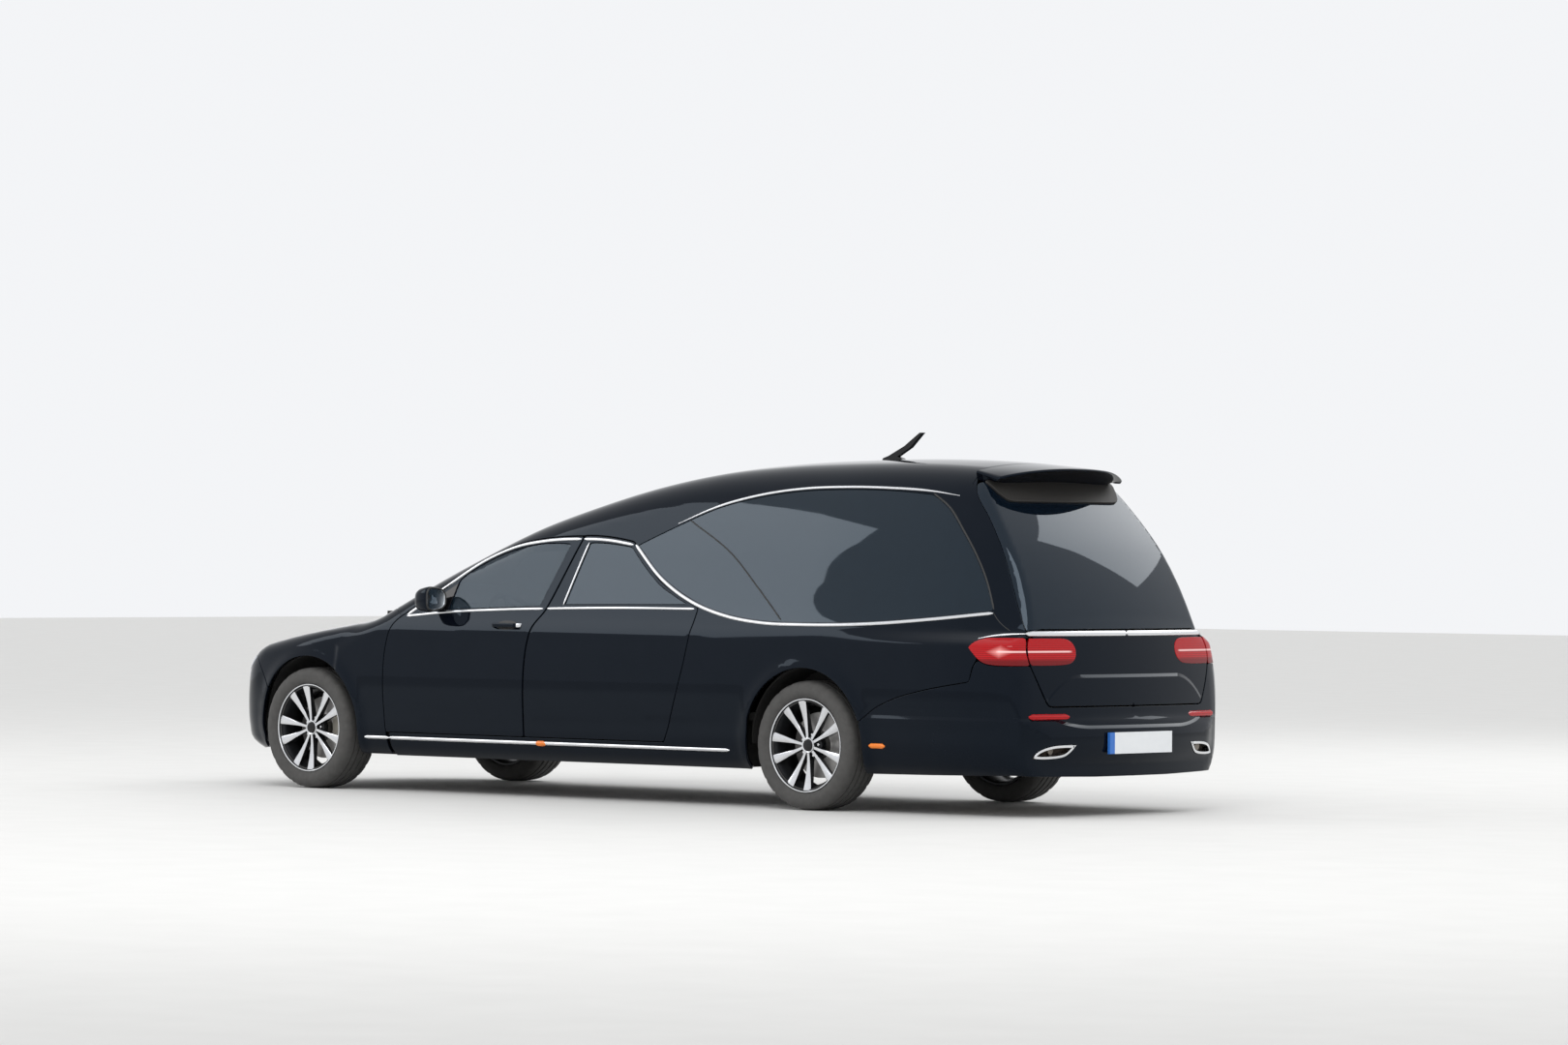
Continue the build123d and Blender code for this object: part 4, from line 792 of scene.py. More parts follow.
FRONT_GLASS = flowing([
    (1.052, 1.018, 1), (1.088, 1.178, 1), (1.255, 1.281), (1.450, 1.347), (1.650, 1.380), (1.856, 1.379, 1),
    (1.728, 1.045, 1)])
REAR_GLASS = flowing([
    (1.913, 1.056, 1), (1.998, 1.386, 1), (2.130, 1.384), (2.312, 1.364, 1), (2.552, 1.178), (2.700, 1.105),
    (2.800, 1.066, 1)])
BELT_Z = (0.98, 1.04)
DOORS = (("front", FRONT_DOOR, FRONT_GLASS), ("rear", REAR_DOOR, REAR_GLASS))
for place, outline, glass in DOORS:
    door = panel(Body(), on_side, outline, [grown(even(glass, 0.01), 0.002)],
                 depth=lambda s, z: 0.030 + 0.060 * (1 - ramp(z, *BELT_Z)), step=0.025, lip=(0.012, 0.010))
    both_sides("door_%s_*_skin" % place, door, [PAINT, TRIM_BLACK], "door_%s_*" % place,
               ("door_%s_*" % place,))

# Mirror sails
# A gloss black moulding fills the front corner of each front door's window and carries the mirror. It is
# clipped to the door's frame.
GLOSS_FINISH = uneven("gloss_black_moulding", (0.004, 0.004, 0.005), (0.007, 0.007, 0.008), 40.0,
                      Roughness=0.08, Specular_IOR_Level=0.35)
GLOSS_BLACK = GLOSS_FINISH.material
SAIL = flowing([(0.830, 1.010, 1), (1.000, 1.112), (1.080, 1.160, 1), (1.047, 1.014, 1)])
sail = panel(Body(), on_side, SAIL, depth=0.004, step=0.02, edge=0.001, sink=-0.0012, inner=0)
both_sides("mirror_sail_*", sail, [GLOSS_BLACK], "door_front_*")

# Glass
# Toughened side panes and a laminated screen; the rear doors, lens windows and gate are privacy glass. The
# door panes run in seals, and the screen and the lens windows are bonded to the shell.
def tinted(name, colour, alpha):
    # The blue specular tint is a painted reflection: it colours the glass's reflections blue, as of a sky.
    glass = Finish(name, IOR=1.52, Specular_IOR_Level=0.42, Specular_Tint=(0.70, 0.85, 1.0, 1))
    haze = glass.noise(14.0, 2.0)
    glass.feed("Base Color", glass.mixed(haze, colour, [c * 1.25 for c in colour]))
    glass.feed("Roughness", 0.015 + 0.02 * haze)
    return glass.feed("Alpha", alpha + 0.02 * haze).material


CLEAR_GLASS = tinted("green_tinted_glass", (0.006, 0.013, 0.020), 0.72)
DARK_GLASS = tinted("privacy_glass", (0.003, 0.007, 0.012), 0.955)
GATE_GLASS = tinted("gate_glass_tint", (0.002, 0.005, 0.010), 0.93)
PANE = {"depth": 0.004, "edge": 0.001}
DOOR_GLASS = ((CLEAR_GLASS, "window_glass"), (DARK_GLASS, "tinted_glass"))
for (place, _, outline), (finish, slot) in zip(DOORS, DOOR_GLASS):
    pane = panel(Body(), on_side, outline, step=0.03, sink=0.005, inner=0, **PANE)
    both_sides("door_%s_*_pane" % place, pane, [finish], "door_%s_*" % place,
               ("door_%s_*_glass" % place,))
skin_piece("lens_windows", on_side, LOAD_WINDOW, [DARK_GLASS], "body", "tinted_glass", ("load_windows",),
           step=0.035, sink=0.004, **PANE)
screen_line = np.vstack([
    smooth((0.385, 0.0), (0.398, 0.20), (0.452, 0.42), (0.560, 0.68), (0.606, 0.790)),
    screen_side[2:] - (0, 0.004), screen_top - (0.004, 0.0),
    straight((SCREEN_TOP_S, 0.0), (0.39, 0.0), step=0.03)])
skin_piece("windscreen_pane", on_top, screen_line, [CLEAR_GLASS], "body", "window_glass", ("windscreen",),
           depth=0.006, step=0.03, edge=0.001, sink=0.002)

# Rear gate
# A top-hinged steel gate: a painted lower half with openings for the lamps and, above it, glass that is bonded
# to a black frame and runs to the gate's edges.
def on_rear(line):
    """(y, z) to the rear."""
    y, z = np.array(line, float).T
    return onto_skin(columns(FRONT_AXLE_X - 4.0, y, z), (-1, 0, 0))


class Dome(Map):
    """The rear: (distance round, distance up), with rays from one point."""

    spread = 0.8

    def __init__(self, centre_s, centre_z):
        self.centre = np.array([FRONT_AXLE_X - centre_s, 0.0, centre_z])

    def rays(self, run, rise):
        turn, tilt = run / self.spread, rise / self.spread
        return (np.tile(self.centre, (len(run), 1)),
                columns(-np.cos(tilt) * np.cos(turn), np.cos(tilt) * np.sin(turn), np.sin(tilt)))

    def flat(self, spots):
        x, y, z = (spots - self.centre).T
        return columns(np.arctan2(y, -x), np.arctan2(z, np.hypot(x, y))) * self.spread


gate_dome = Dome(4.2, 1.0)
GATE_PAINT = black_paint("gate_paint", lambda y: 0.722 - 0.12 * ((y - 0.40) * 4.2).clipped().power(2.0))
SKIN_TOP_Z = 0.957
GATE_FOOT = smooth((0.752, 0.860), (0.744, 0.790), (0.702, 0.690), (0.644, 0.580))
INNER_LAMP = flowing([
    (0.722, 0.918, 1), (0.560, 0.918), (0.470, 0.914), (0.428, 0.892), (0.412, 0.855), (0.424, 0.812),
    (0.462, 0.784), (0.560, 0.775), (0.742, 0.775, 1), (0.750, 0.850)], 0.008)
lamp_edge = even(INNER_LAMP, 0.01)
gate_line = gate_dome.line(
    on_rear(straight((0.0, SKIN_TOP_Z), (0.45, SKIN_TOP_Z), (0.68, SKIN_TOP_Z + 0.002))),
    on_side(smooth((5.010, 0.955), (5.024, 0.936), (5.040, 0.915))), on_rear(GATE_FOOT),
    on_rear(straight((0.625, 0.568), (0.0, 0.568), (0.0, 0.950), step=0.02)))
skin_piece("gate_skin", gate_dome, gate_line, [GATE_PAINT, TRIM_BLACK], "tailgate", "body_paint",
           ("tailgate",), [gate_dome.line(on_rear(grown(lamp_edge, -0.006)))], depth=0.03)
PANE_SIDE = GATE_SIDE[6:-5]
pane_line = gate_dome.line(
    on_rear(straight((0.0, 0.963), (0.45, 0.963), (0.62, 0.963))), on_side(PANE_SIDE[::-1] - (0.0026, 0.0)),
    on_rear(straight((0.40, 1.698), (0.0, 1.698), (0.0, 0.973), step=0.03)))
skin_piece("gate_pane", gate_dome, pane_line, [GATE_GLASS], "tailgate", "tinted_glass", ("gate_glass",),
           step=0.016, sink=0.0005, **PANE)
frame_line = gate_dome.line(
    on_rear(straight((0.0, 0.966), (0.45, 0.966), (0.62, 0.966))), on_side(PANE_SIDE[::-1] - (0.010, 0.0)),
    on_rear(straight((0.40, 1.690), (0.0, 1.690))), on_rear(straight((0.0, 1.680), (0.0, 1.620), step=0.02)),
    on_rear(straight((0.0, 1.612), (0.38, 1.600))), on_side(PANE_SIDE[4:-10] - (0.060, 0.0)),
    on_rear(straight((0.55, 1.030), (0.0, 1.024))), on_rear(straight((0.0, 1.015), (0.0, 0.975), step=0.02)))
skin_piece("gate_frame", gate_dome, frame_line, [TRIM_BLACK, TRIM_BLACK], "tailgate", "gloss_black",
           depth=0.025, step=0.02, sink=0.006)

# Rear bumper
# One moulded cover in the body colour from the wheel arch round to the other side, with openings for the
# exhaust finishers low down.
class Wrap(Map):
    """One end of the car: (distance round, z), with level rays from an upright axis."""

    def __init__(self, centre_s, heading):
        self.centre_x, self.heading = FRONT_AXLE_X - centre_s, heading

    def rays(self, run, z):
        angle = run / self.spread
        return columns(self.centre_x, 0.0, z), columns(self.heading * np.cos(angle), np.sin(angle), 0.0)

    def flat(self, spots):
        x, y, z = spots.T
        return columns(np.arctan2(y, (x - self.centre_x) * self.heading) * self.spread, z)


tail_wrap = Wrap(4.2, -1)
BUMPER_PAINT = black_paint("bumper_paint", lambda y: 0.462 + 0.04 * ((y - 0.36) * 4.0).clipped().power(2.0))
TIP = flowing([
    (0.476, 0.374, 1), (0.560, 0.376), (0.650, 0.369), (0.716, 0.346), (0.752, 0.303, 1), (0.690, 0.298),
    (0.600, 0.301), (0.542, 0.312), (0.506, 0.338)], 0.008)
bumper_line = tail_wrap.line(
    on_rear(straight((0.0, 0.205), (0.30, 0.205))),
    on_side(straight((5.0, 0.215), (4.5, 0.205), (4.128, 0.200))),
    on_side(arch(WHEELBASE, 200, 163)), on_side(BUMPER_TOP), on_side(straight((4.811, 0.768), (4.835, 0.804))),
    on_side(LAMP_BOTTOM[LAMP_BOTTOM[:, 0] > 4.845] - (0, 0.003)),
    on_rear(straight((0.752, 0.777), (0.746, 0.777))),
    on_rear(smooth((0.738, 0.760), (0.705, 0.686), (0.650, 0.580))),
    on_rear(straight((0.630, 0.563), (0.0, 0.563))), on_rear(straight((0.0, 0.55), (0.0, 0.22), step=0.03)))
skin_piece("rear_bumper_skin", tail_wrap, bumper_line, [BUMPER_PAINT, TRIM_BLACK], "body", "body_paint",
           ("rear_bumper",), [tail_wrap.line(on_rear(grown(even(TIP, 0.01), -0.003)))], step=0.025)

# Exhaust
# One steel pipe under the floor to a wide silencer, and two tail pipes to the bright slanted finishers in the
# bumper. The pipes are welded to the silencer; the finishers are pressed sheet with a sooty inside.
def bright_metal(name, colour, rough):
    metal = Finish(name, Metallic=1.0)
    grain = metal.noise(60.0, 4.0)
    metal.feed("Base Color", metal.mixed(grain, [c * 0.93 for c in colour], colour))
    return metal.feed("Roughness", rough + 0.08 * grain).material


def tube_of(rings, finishes=None):
    """A closed skin through rings of points."""
    finishes = finishes or [0] * len(rings)
    body = Body()
    count = len(rings[0])
    for ring in rings:
        body.add(ring, np.zeros((count, 3)), [])
    for i in range(len(rings) - 1):
        for k in range(count):
            after = (k + 1) % count
            body.faces.append((i * count + k, i * count + after, (i + 1) * count + after, (i + 1) * count + k))
            body.finish.append(finishes[i])
    body.faces += [tuple(range(count))[::-1], tuple((len(rings) - 1) * count + k for k in range(count))]
    body.finish += [finishes[0], finishes[-1]]
    return body


def oval(width, height, power, count=40):
    """Both coordinates of a ring with half sizes; a higher power is squarer."""
    angle = np.linspace(0, 2 * math.pi, count, endpoint=False)
    c, s = np.cos(angle), np.sin(angle)
    return width * np.sign(c) * np.abs(c) ** (2 / power), height * np.sign(s) * np.abs(s) ** (2 / power)


def along_car(rows, power=2.0, count=32, y=0.0):
    """A tube along the car. Rows: s, z, half width, half height."""
    rings = []
    for s, z, width, height in rows:
        across, upwards = oval(width, height, power, count)
        rings.append(columns(FRONT_AXLE_X - s, y + across, z + upwards))
    return tube_of(rings)


CHROME = bright_metal("satin_bright_trim", (0.80, 0.81, 0.83), 0.16)
STEEL = uneven("exhaust_steel", (0.16, 0.13, 0.10), (0.34, 0.32, 0.29), 14.0, 5.0, (0.35, 0.25, 60.0),
               Metallic=1.0).material
SOOT = uneven("sooty_inside", (0.010, 0.007, 0.005), (0.040, 0.026, 0.018), 50.0, Roughness=0.9).material
EXHAUST_PIPE = ((0.470, 0.262, 0.026, 0.026), (0.480, 0.262, 0.028, 0.028), (4.300, 0.262, 0.028, 0.028),
                (4.315, 0.262, 0.026, 0.026))
SILENCER = ((4.300, 0.320, 0.570, 0.050), (4.306, 0.320, 0.598, 0.066), (4.325, 0.320, 0.612, 0.076),
            (4.350, 0.320, 0.618, 0.079), (4.710, 0.320, 0.618, 0.079), (4.735, 0.320, 0.612, 0.076),
            (4.754, 0.320, 0.598, 0.066), (4.760, 0.320, 0.570, 0.050))
TAIL_PIPE = ((4.740, 0.345, 0.022, 0.022), (5.080, 0.345, 0.022, 0.022), (5.092, 0.345, 0.021, 0.021))
TAIL_PIPE_Y = 0.615
pipes = Body().take(along_car(EXHAUST_PIPE), along_car(SILENCER, 3.5, 64), along_car(TAIL_PIPE, y=TAIL_PIPE_Y),
                    along_car(TAIL_PIPE, y=-TAIL_PIPE_Y))
make_piece("exhaust_pipes", pipes, [STEEL], "body", ("exhaust",), 40)
tip_edge, tip_mouth, tip_inside = (tail_wrap.line(on_rear(grown(even(TIP, 0.008), -inset)))
                                   for inset in (0.004, 0.017, 0.010))
skin_piece("exhaust_finishers", tail_wrap, tip_edge, [CHROME], "body", "chrome", (), [tip_mouth],
           depth=0.045, step=0.012, edge=0.002, sink=-0.004)
skin_piece("exhaust_throats", tail_wrap, tip_inside, [SOOT], "body", "black_plastic",
           step=0.02, sink=0.035, **PANE)

# Front bumper
# The nose cover, one moulding in the body colour from the wheel arch round to the other side. It is clipped
# to the wings and screwed on behind the grille.
nose_wrap = Wrap(0.0, 1)
front_line = np.vstack([
    nose_wrap.line(on_side(straight((-0.345, 0.556), HEADLAMP_TIP)),
                   on_top(straight((-0.475, 0.80), (-0.560, 0.700), (-0.612, 0.622))),
                   on_top(smooth((-0.612, 0.622), (-0.707, 0.42), (-0.759, 0.20), (-0.772, 0.0)))),
    straight((0.0, 0.70), (0.0, 0.215), step=0.03),
    nose_wrap.line(on_side(straight((-0.55, 0.205), (-0.425, 0.215))), on_side(arch(0.0, -8, 31)))])
skin_piece("front_bumper_skin", nose_wrap, front_line, [PAINT, TRIM_BLACK], "body", "body_paint",
           ("front_bumper",), step=0.025)

# Bright trim
# Satin-bright strips of anodised aluminium: round the door windows, round the lens windows, along the sills
# and across the gate. They are clipped to the panels behind them.
def trim_strip(body, surface, line, width, rise=0.004, base=0.0, taper=0.02):
    """Adds a raised strip with rounded shoulders along a line of map coordinates, pointed at both ends."""
    spots = even(surface(even(line, LINE_STEP, closed=False)), LINE_STEP, closed=False)
    normals = skin_normals(spots)
    along = np.gradient(spots, axis=0)
    along /= np.linalg.norm(along, axis=1, keepdims=True)
    across = np.cross(normals, along)
    run = np.concatenate([[0], np.cumsum(np.linalg.norm(np.diff(spots, axis=0), axis=1))])
    share = np.clip(np.minimum(run, run[-1] - run) / max(taper, 1e-6), 0.12, 1) ** 0.6
    half = ((0.15, 1.0), (0.38, 0.85), (0.5, 0.35), (0.5, -0.5))
    profile = [(-u, v) for u, v in reversed(half)] + list(half)
    count = len(profile)
    sideways, upwards = across * (width * share)[:, None], normals * (rise * share)[:, None]
    spots = spots + normals * base
    points = np.stack([spots + sideways * u + upwards * v for u, v in profile], 1).reshape(-1, 3)
    turns = np.stack([normals * max(v, -0.2) + across * u * 2.2 for u, v in profile], 1).reshape(-1, 3)
    faces = []
    for i in range(len(spots) - 1):
        for k in range(count):
            after = (k + 1) % count
            faces.append((i * count + k, (i + 1) * count + k, (i + 1) * count + after, i * count + after))
    faces.append(tuple(range(count)))
    last = (len(spots) - 1) * count
    faces.append(tuple(last + k for k in reversed(range(count))))
    body.add(points, turns, faces)
    return body


def strips(surface, *table):
    """One body with a strip for each row: line, width, rise and, if given, taper and base."""
    body = Body()
    for line, width, rise, *rest in table:
        trim_strip(body, surface, line, width, rise, **dict(zip(("taper", "base"), rest)))
    return body


belt_line = smooth((0.745, 0.976), (1.064, 1.003), (1.400, 1.018), (1.781, 1.029), (2.300, 1.039),
                   (2.862, 1.041))
arch_line = smooth((0.745, 0.982), (0.984, 1.134), (1.253, 1.298), (1.446, 1.364), (1.649, 1.395),
                   (1.930, 1.408), (2.130, 1.402), (2.318, 1.379))
pillar_strip = (straight((1.905, 1.050), (1.990, 1.388)), 0.012, 0.004)
front_strips = strips(on_side, (belt_line[belt_line[:, 0] < 1.770], 0.015, 0.004),
                      (arch_line[arch_line[:, 0] < 1.930], 0.018, 0.005))
rear_strips = strips(on_side, (belt_line[belt_line[:, 0] > 1.792], 0.015, 0.004),
                     (arch_line[arch_line[:, 0] > 1.944], 0.018, 0.005), pillar_strip)
both_sides("door_front_*_bright", front_strips, [CHROME], "door_front_*")
both_sides("door_rear_*_bright", rear_strips, [CHROME], "door_rear_*")
LENS_BOTTOM = smooth((2.336, 1.378), (2.579, 1.198), (2.843, 1.073), (3.085, 1.008), (3.354, 0.974),
                     (3.652, 0.968), (4.038, 0.976), (4.509, 1.010), (4.818, 1.042))
LENS_TOP = smooth((2.601, 1.494), (2.853, 1.587), (3.127, 1.648), (3.410, 1.681), (3.702, 1.690),
                  (3.996, 1.685), (4.293, 1.667), (4.460, 1.645))
lens_strips = strips(on_side, (LENS_BOTTOM, 0.020, 0.005), (LENS_TOP, 0.014, 0.005, 0.30))
sill_strips = strips(
    fan, (fan.line(on_side(straight((0.640, 0.299), (3.165, 0.299), step=0.05))), 0.020, 0.005),
    (fan.line(on_side(straight((0.450, 0.299), (0.640, 0.299)))), 0.020, 0.005))
corner_strip = strips(tail_wrap, (tail_wrap.line(on_side(smooth(
    (4.800, 0.914), (4.860, 0.928), (4.940, 0.937), (5.020, 0.940)))), 0.026, 0.005, 0.16))
make_piece("body_bright", lens_strips.take(sill_strips, corner_strip).mirror(), [CHROME], "body")
gate_strip = strips(gate_dome, (gate_dome.line(on_rear(straight((0.0, 0.940), (0.50, 0.940), (0.722, 0.940)))),
                                0.030, 0.006, 0.0))
make_piece("gate_bright", gate_strip.mirror(), [CHROME], "tailgate")

# Lens window joint
# The black seal at the lens window's ends and the slanting joint between its two panes. Both are bonded in
# and stand hardly above the glass.
joint = strips(
    on_side,
    (smooth((2.675, 1.515), (3.044, 1.331), (3.254, 1.175), (3.487, 0.990)), 0.008, 0.002, 0.02, -0.003),
    (smooth((4.816, 1.046), (4.850, 1.008), (4.900, 0.970), (4.945, 0.945)), 0.005, 0.001),
    (smooth((4.292, 1.658), (4.424, 1.583), (4.546, 1.466), (4.648, 1.352), (4.752, 1.199), (4.818, 1.060)),
     0.010, 0.002))
make_piece("lens_window_joint", joint.mirror(), [TRIM_BLACK], "body")

# Lamps
# Moulded red and clear lenses over a dark inside: the outer pair sits in the body, the inner pair in the gate.
# The reflectors and the amber markers are small mouldings, clipped into the bumper and the sills.
def on_nose(line):
    """(y, z) to the front."""
    y, z = np.array(line, float).T
    return onto_skin(columns(FRONT_AXLE_X - 0.1, y, z), (1, 0, 0))


def red_lens():
    """Ribbed red, deep red below, with a pale bar across the inner end and a painted highlight at the outer
    corner.
    """
    lens = Finish("red_lamp_lens", IOR=1.49, Specular_IOR_Level=0.30)
    x, y, z = lens.axes()
    ribs = (z * 620.0).sine() * 0.5 + 0.5
    bar = 1.0 - ((z - 0.848).size() * 150.0).clipped()
    bar = bar * ((y.size() - 0.44) * 40.0).clipped() * ((-2.760 - x) * 60.0).clipped()
    # Painted highlight: a pale pink spot on the outer lamp's corner, where the lens would catch a glint.
    painted_highlight = ((x + 2.780).size() * -12.0 + (z - 0.847).size() * -26.0 + 1.0).clipped().power(1.3)
    painted_highlight = painted_highlight * ((y.size() - 0.75) * 80.0).clipped()
    low = ((z - 0.800) * 60.0).clipped() + ((0.600 - z) * 60.0).clipped()
    shade = lens.mixed(low, (0.16, 0.001, 0.003), lens.mixed(ribs, (0.26, 0.002, 0.004), (0.50, 0.004, 0.008)))
    shade = lens.mixed(painted_highlight, shade, (1.0, 0.42, 0.40))
    lens.feed("Base Color", lens.mixed(bar, shade, (1.0, 0.72, 0.70)))
    return lens.feed("Roughness", 0.05 + 0.05 * lens.noise(30.0)).material


RED_LENS = red_lens()
CLEAR_LENS = uneven("clear_lamp_lens", (0.20, 0.22, 0.25), (0.62, 0.65, 0.70), 22.0, 3.0, (0.04, 0.05, 50.0),
                    IOR=1.49).material
outer_lamp = tail_wrap.line(
    on_side(LAMP_BOTTOM), on_rear(straight((0.762, 0.7765), (0.747, 0.7765))),
    on_rear(smooth((0.749, 0.786), (0.757, 0.850), (0.740, 0.912))), on_side(LAMP_TOP[::-1][2:-1]))
skin_piece("outer_tail_lamps", tail_wrap, outer_lamp, [RED_LENS, TRIM_BLACK], "body", "lamp_red",
           ("tail_lamps",), depth=0.04, step=0.018, sink=-0.002)
skin_piece("inner_tail_lamps", gate_dome, gate_dome.line(on_rear(grown(lamp_edge, -0.002))),
           [RED_LENS, TRIM_BLACK], "tailgate", "lamp_red", ("gate_lamps",), step=0.018, sink=-0.0025)
reflector_line = tail_wrap.line(on_rear(straight((0.500, 0.516), (0.772, 0.516))))
reflector = strips(tail_wrap, (reflector_line, 0.030, 0.005))
make_piece("bumper_reflectors", reflector.mirror(), [RED_LENS], "body")
amber = Finish("amber_lens", Roughness=0.1)
amber_ribs = (amber.axes()[0] * 900.0).sine() * 0.5 + 0.5
amber.feed("Base Color", amber.mixed(amber_ribs, (0.75, 0.16, 0.01), (0.95, 0.26, 0.02)))
markers = strips(fan, (fan.line(on_side(straight((1.755, 0.298), (1.840, 0.298)))), 0.030, 0.009))
markers.take(strips(tail_wrap, (tail_wrap.line(on_side(straight((4.140, 0.350), (4.245, 0.350)))),
                                0.026, 0.006, 0.004)))
make_piece("side_markers", markers.mirror(), [amber.material], "body")
head_line = nose_wrap.line(
    on_nose(straight((0.485, 0.660), (0.505, 0.622))),
    on_nose(smooth((0.520, 0.614), (0.620, 0.617), (0.740, 0.640))),
    on_side(smooth((-0.560, 0.672), (-0.520, 0.698), (-0.482, 0.728))),
    on_side(smooth((-0.520, 0.735), (-0.560, 0.738))),
    on_nose(smooth((0.690, 0.736), (0.600, 0.722), (0.500, 0.694))))
skin_piece("headlamp_lenses", nose_wrap, head_line, [CLEAR_LENS, TRIM_BLACK], "body", "lamp_clear",
           ("headlamps",), step=0.02, sink=-0.002)

# Grille and intakes
# Black moulded mesh in the openings of the nose, with level blades and a bright surround in front of it. It
# is clipped into the bumper, and its middle is left plain.
intake = Finish("intake_mesh", Roughness=0.45)
y, z = intake.axes()[1:]
# Painted shade: the mesh is a solid sheet, and its colour is darker along the lines between the raised cells,
# as shade in the gaps; the same pattern gives the bump.
cells_and_painted_shade = ((y * 420.0).sine() * (z * 420.0).sine()).size()
intake.feed("Base Color", intake.mixed(cells_and_painted_shade, (0.003, 0.003, 0.003), (0.018, 0.018, 0.019)))
intake.bump(cells_and_painted_shade, 0.6, 0.002)
GRILLE_LINES = (
    (straight((0.0, 0.475), (0.330, 0.475)), smooth((0.350, 0.490), (0.385, 0.580), (0.375, 0.655)),
     straight((0.350, 0.670), (0.0, 0.676)), straight((0.0, 0.66), (0.0, 0.48), step=0.03)),
    (straight((0.0, 0.250), (0.560, 0.255)), smooth((0.600, 0.262), (0.640, 0.300), (0.620, 0.350)),
     straight((0.420, 0.330), (0.0, 0.320)), straight((0.0, 0.31), (0.0, 0.26), step=0.03)))
mesh_body = Body()
for legs in GRILLE_LINES:
    outline = nose_wrap.line(*map(on_nose, legs))
    panel(mesh_body, nose_wrap, outline, depth=0.012, step=0.02, sink=-0.001, inner=0)
make_piece("grille_mesh", mesh_body.mirror(), [intake.material], "body", ("grille",))
blades = strips(nose_wrap, *(
    (nose_wrap.line(on_nose(line)), *sizes) for line, *sizes in (
        (straight((0.0, 0.525), (0.362, 0.525)), 0.016, 0.008, 0.0),
        (straight((0.0, 0.575), (0.362, 0.575)), 0.016, 0.008, 0.0),
        (straight((0.0, 0.625), (0.362, 0.625)), 0.016, 0.008, 0.0),
        (straight((0.0, 0.676), (0.355, 0.670)), 0.014, 0.008, 0.0),
        (smooth((0.360, 0.668), (0.385, 0.580), (0.345, 0.480)), 0.014, 0.008))))
make_piece("grille_blades", blades.mirror(), [CHROME], "body")

# Spoiler
# A moulded roof-end spoiler in the body colour. It is bonded to the gate's head and carries the roof's line
# on over the glass.
SPOILER_HALF_Y, SPOILER_START_S, LIP_DROP = 0.518, 4.512, 0.011
# The places of the underside in a section, which narrows towards the tips
UNDERSIDE = range(21, 29)


def spoiler_body():
    """Sections from one side to the other: roof line, lip, a face that falls back to the gate's glass."""
    rings = []
    for share in np.concatenate([[-1.0, -0.997], np.linspace(-0.985, 0.985, 61), [0.997, 1.0]]):
        y = SPOILER_HALF_Y * share
        shrink = 0.004 * (abs(share) > 0.99) + 0.006 * (abs(share) > 0.999)
        end = 4.797 - 0.142 * share ** 2 - shrink
        section = []
        for u in np.linspace(0.0, 1.0, 18):
            s = SPOILER_START_S + u * (end - SPOILER_START_S)
            section.append((s, float(roof_profile(s)) - crown(y, ROOF_FALL) - 0.022 * u * share ** 4 - shrink))
        lip = section[-1][1]
        foot_s, foot_z = 4.606 - 0.030 * share ** 4, 1.713 - 0.016 * share ** 2 + 0.022 * share ** 10 + shrink
        section += [(end + 0.003, lip - 0.003), (end + 0.003, lip - 0.008), (end - 0.001, lip - LIP_DROP)]
        for t in np.linspace(0.08, 1.0, 8):
            hollow = 0.010 * math.sin(math.pi * t) * (1 - share ** 2)
            section.append((end + t * (foot_s - end), lip - LIP_DROP + t * (foot_z - lip + LIP_DROP) + hollow))
        section += [(4.560, foot_z), (4.516, foot_z + 0.010)]
        rings.append([(FRONT_AXLE_X - s, y * (1 - 0.06 * share ** 2 * (k in UNDERSIDE)), z)
                      for k, (s, z) in enumerate(section)])
    return tube_of(rings)


make_piece("roof_spoiler", spoiler_body(), [PAINT], "tailgate", ("spoiler",), 50)

# Spoiler housing
# The grained plastic box under the spoiler that hides the wiper's motor. It is screwed to the gate's head,
# over the top of the glass.
housing_line = gate_dome.line(*map(on_rear, (
    straight((0.0, 1.612), (0.400, 1.612)),
    smooth((0.400, 1.612), (0.452, 1.618), (0.484, 1.645), (0.512, 1.694)),
    straight((0.516, 1.704), (0.516, 1.714)), straight((0.490, 1.722), (0.0, 1.738)),
    straight((0.0, 1.73), (0.0, 1.62), step=0.02))))
skin_piece("spoiler_housing", gate_dome, housing_line, [GRAINED], "tailgate", "black_plastic",
           depth=0.030, step=0.02, sink=-0.012)

# Mirrors
# Folding door mirrors: a painted cap, a black rim with the glass facing back, and a black foot. The foot is
# bolted through the sail to the front door.
MIRROR_GLASS = uneven("mirror_glass", (0.62, 0.66, 0.70), (0.70, 0.74, 0.78), 8.0, Metallic=1.0,
                      Roughness=0.03).material
MIRROR_RINGS = (
    (0.914, 0.022, 0.018, 0), (0.919, 0.045, 0.037, 0), (0.935, 0.063, 0.052, 0), (0.962, 0.075, 0.061, 0),
    (0.996, 0.080, 0.065, 0), (1.022, 0.082, 0.067, 0), (1.036, 0.080, 0.065, 1), (1.042, 0.075, 0.060, 1),
    (1.036, 0.069, 0.055, 2), (1.034, 0.067, 0.053, 2))
FOOT_RINGS = ((0.780, 0.958, 1.034, 0.046, 0.019), (0.820, 0.962, 1.034, 0.042, 0.018),
              (0.850, 0.966, 1.032, 0.038, 0.015), (0.885, 0.972, 1.034, 0.034, 0.016))
head_rings, foot_rings = [], []
for s, width, height, _ in MIRROR_RINGS:
    across, upwards = oval(width, height, 3.0)
    slope = 0.008 * (1.042 - s) / 0.13
    head_rings.append(columns(FRONT_AXLE_X - s, 0.950 + across, 1.073 + upwards * (1 + 2.0 * across) - slope))
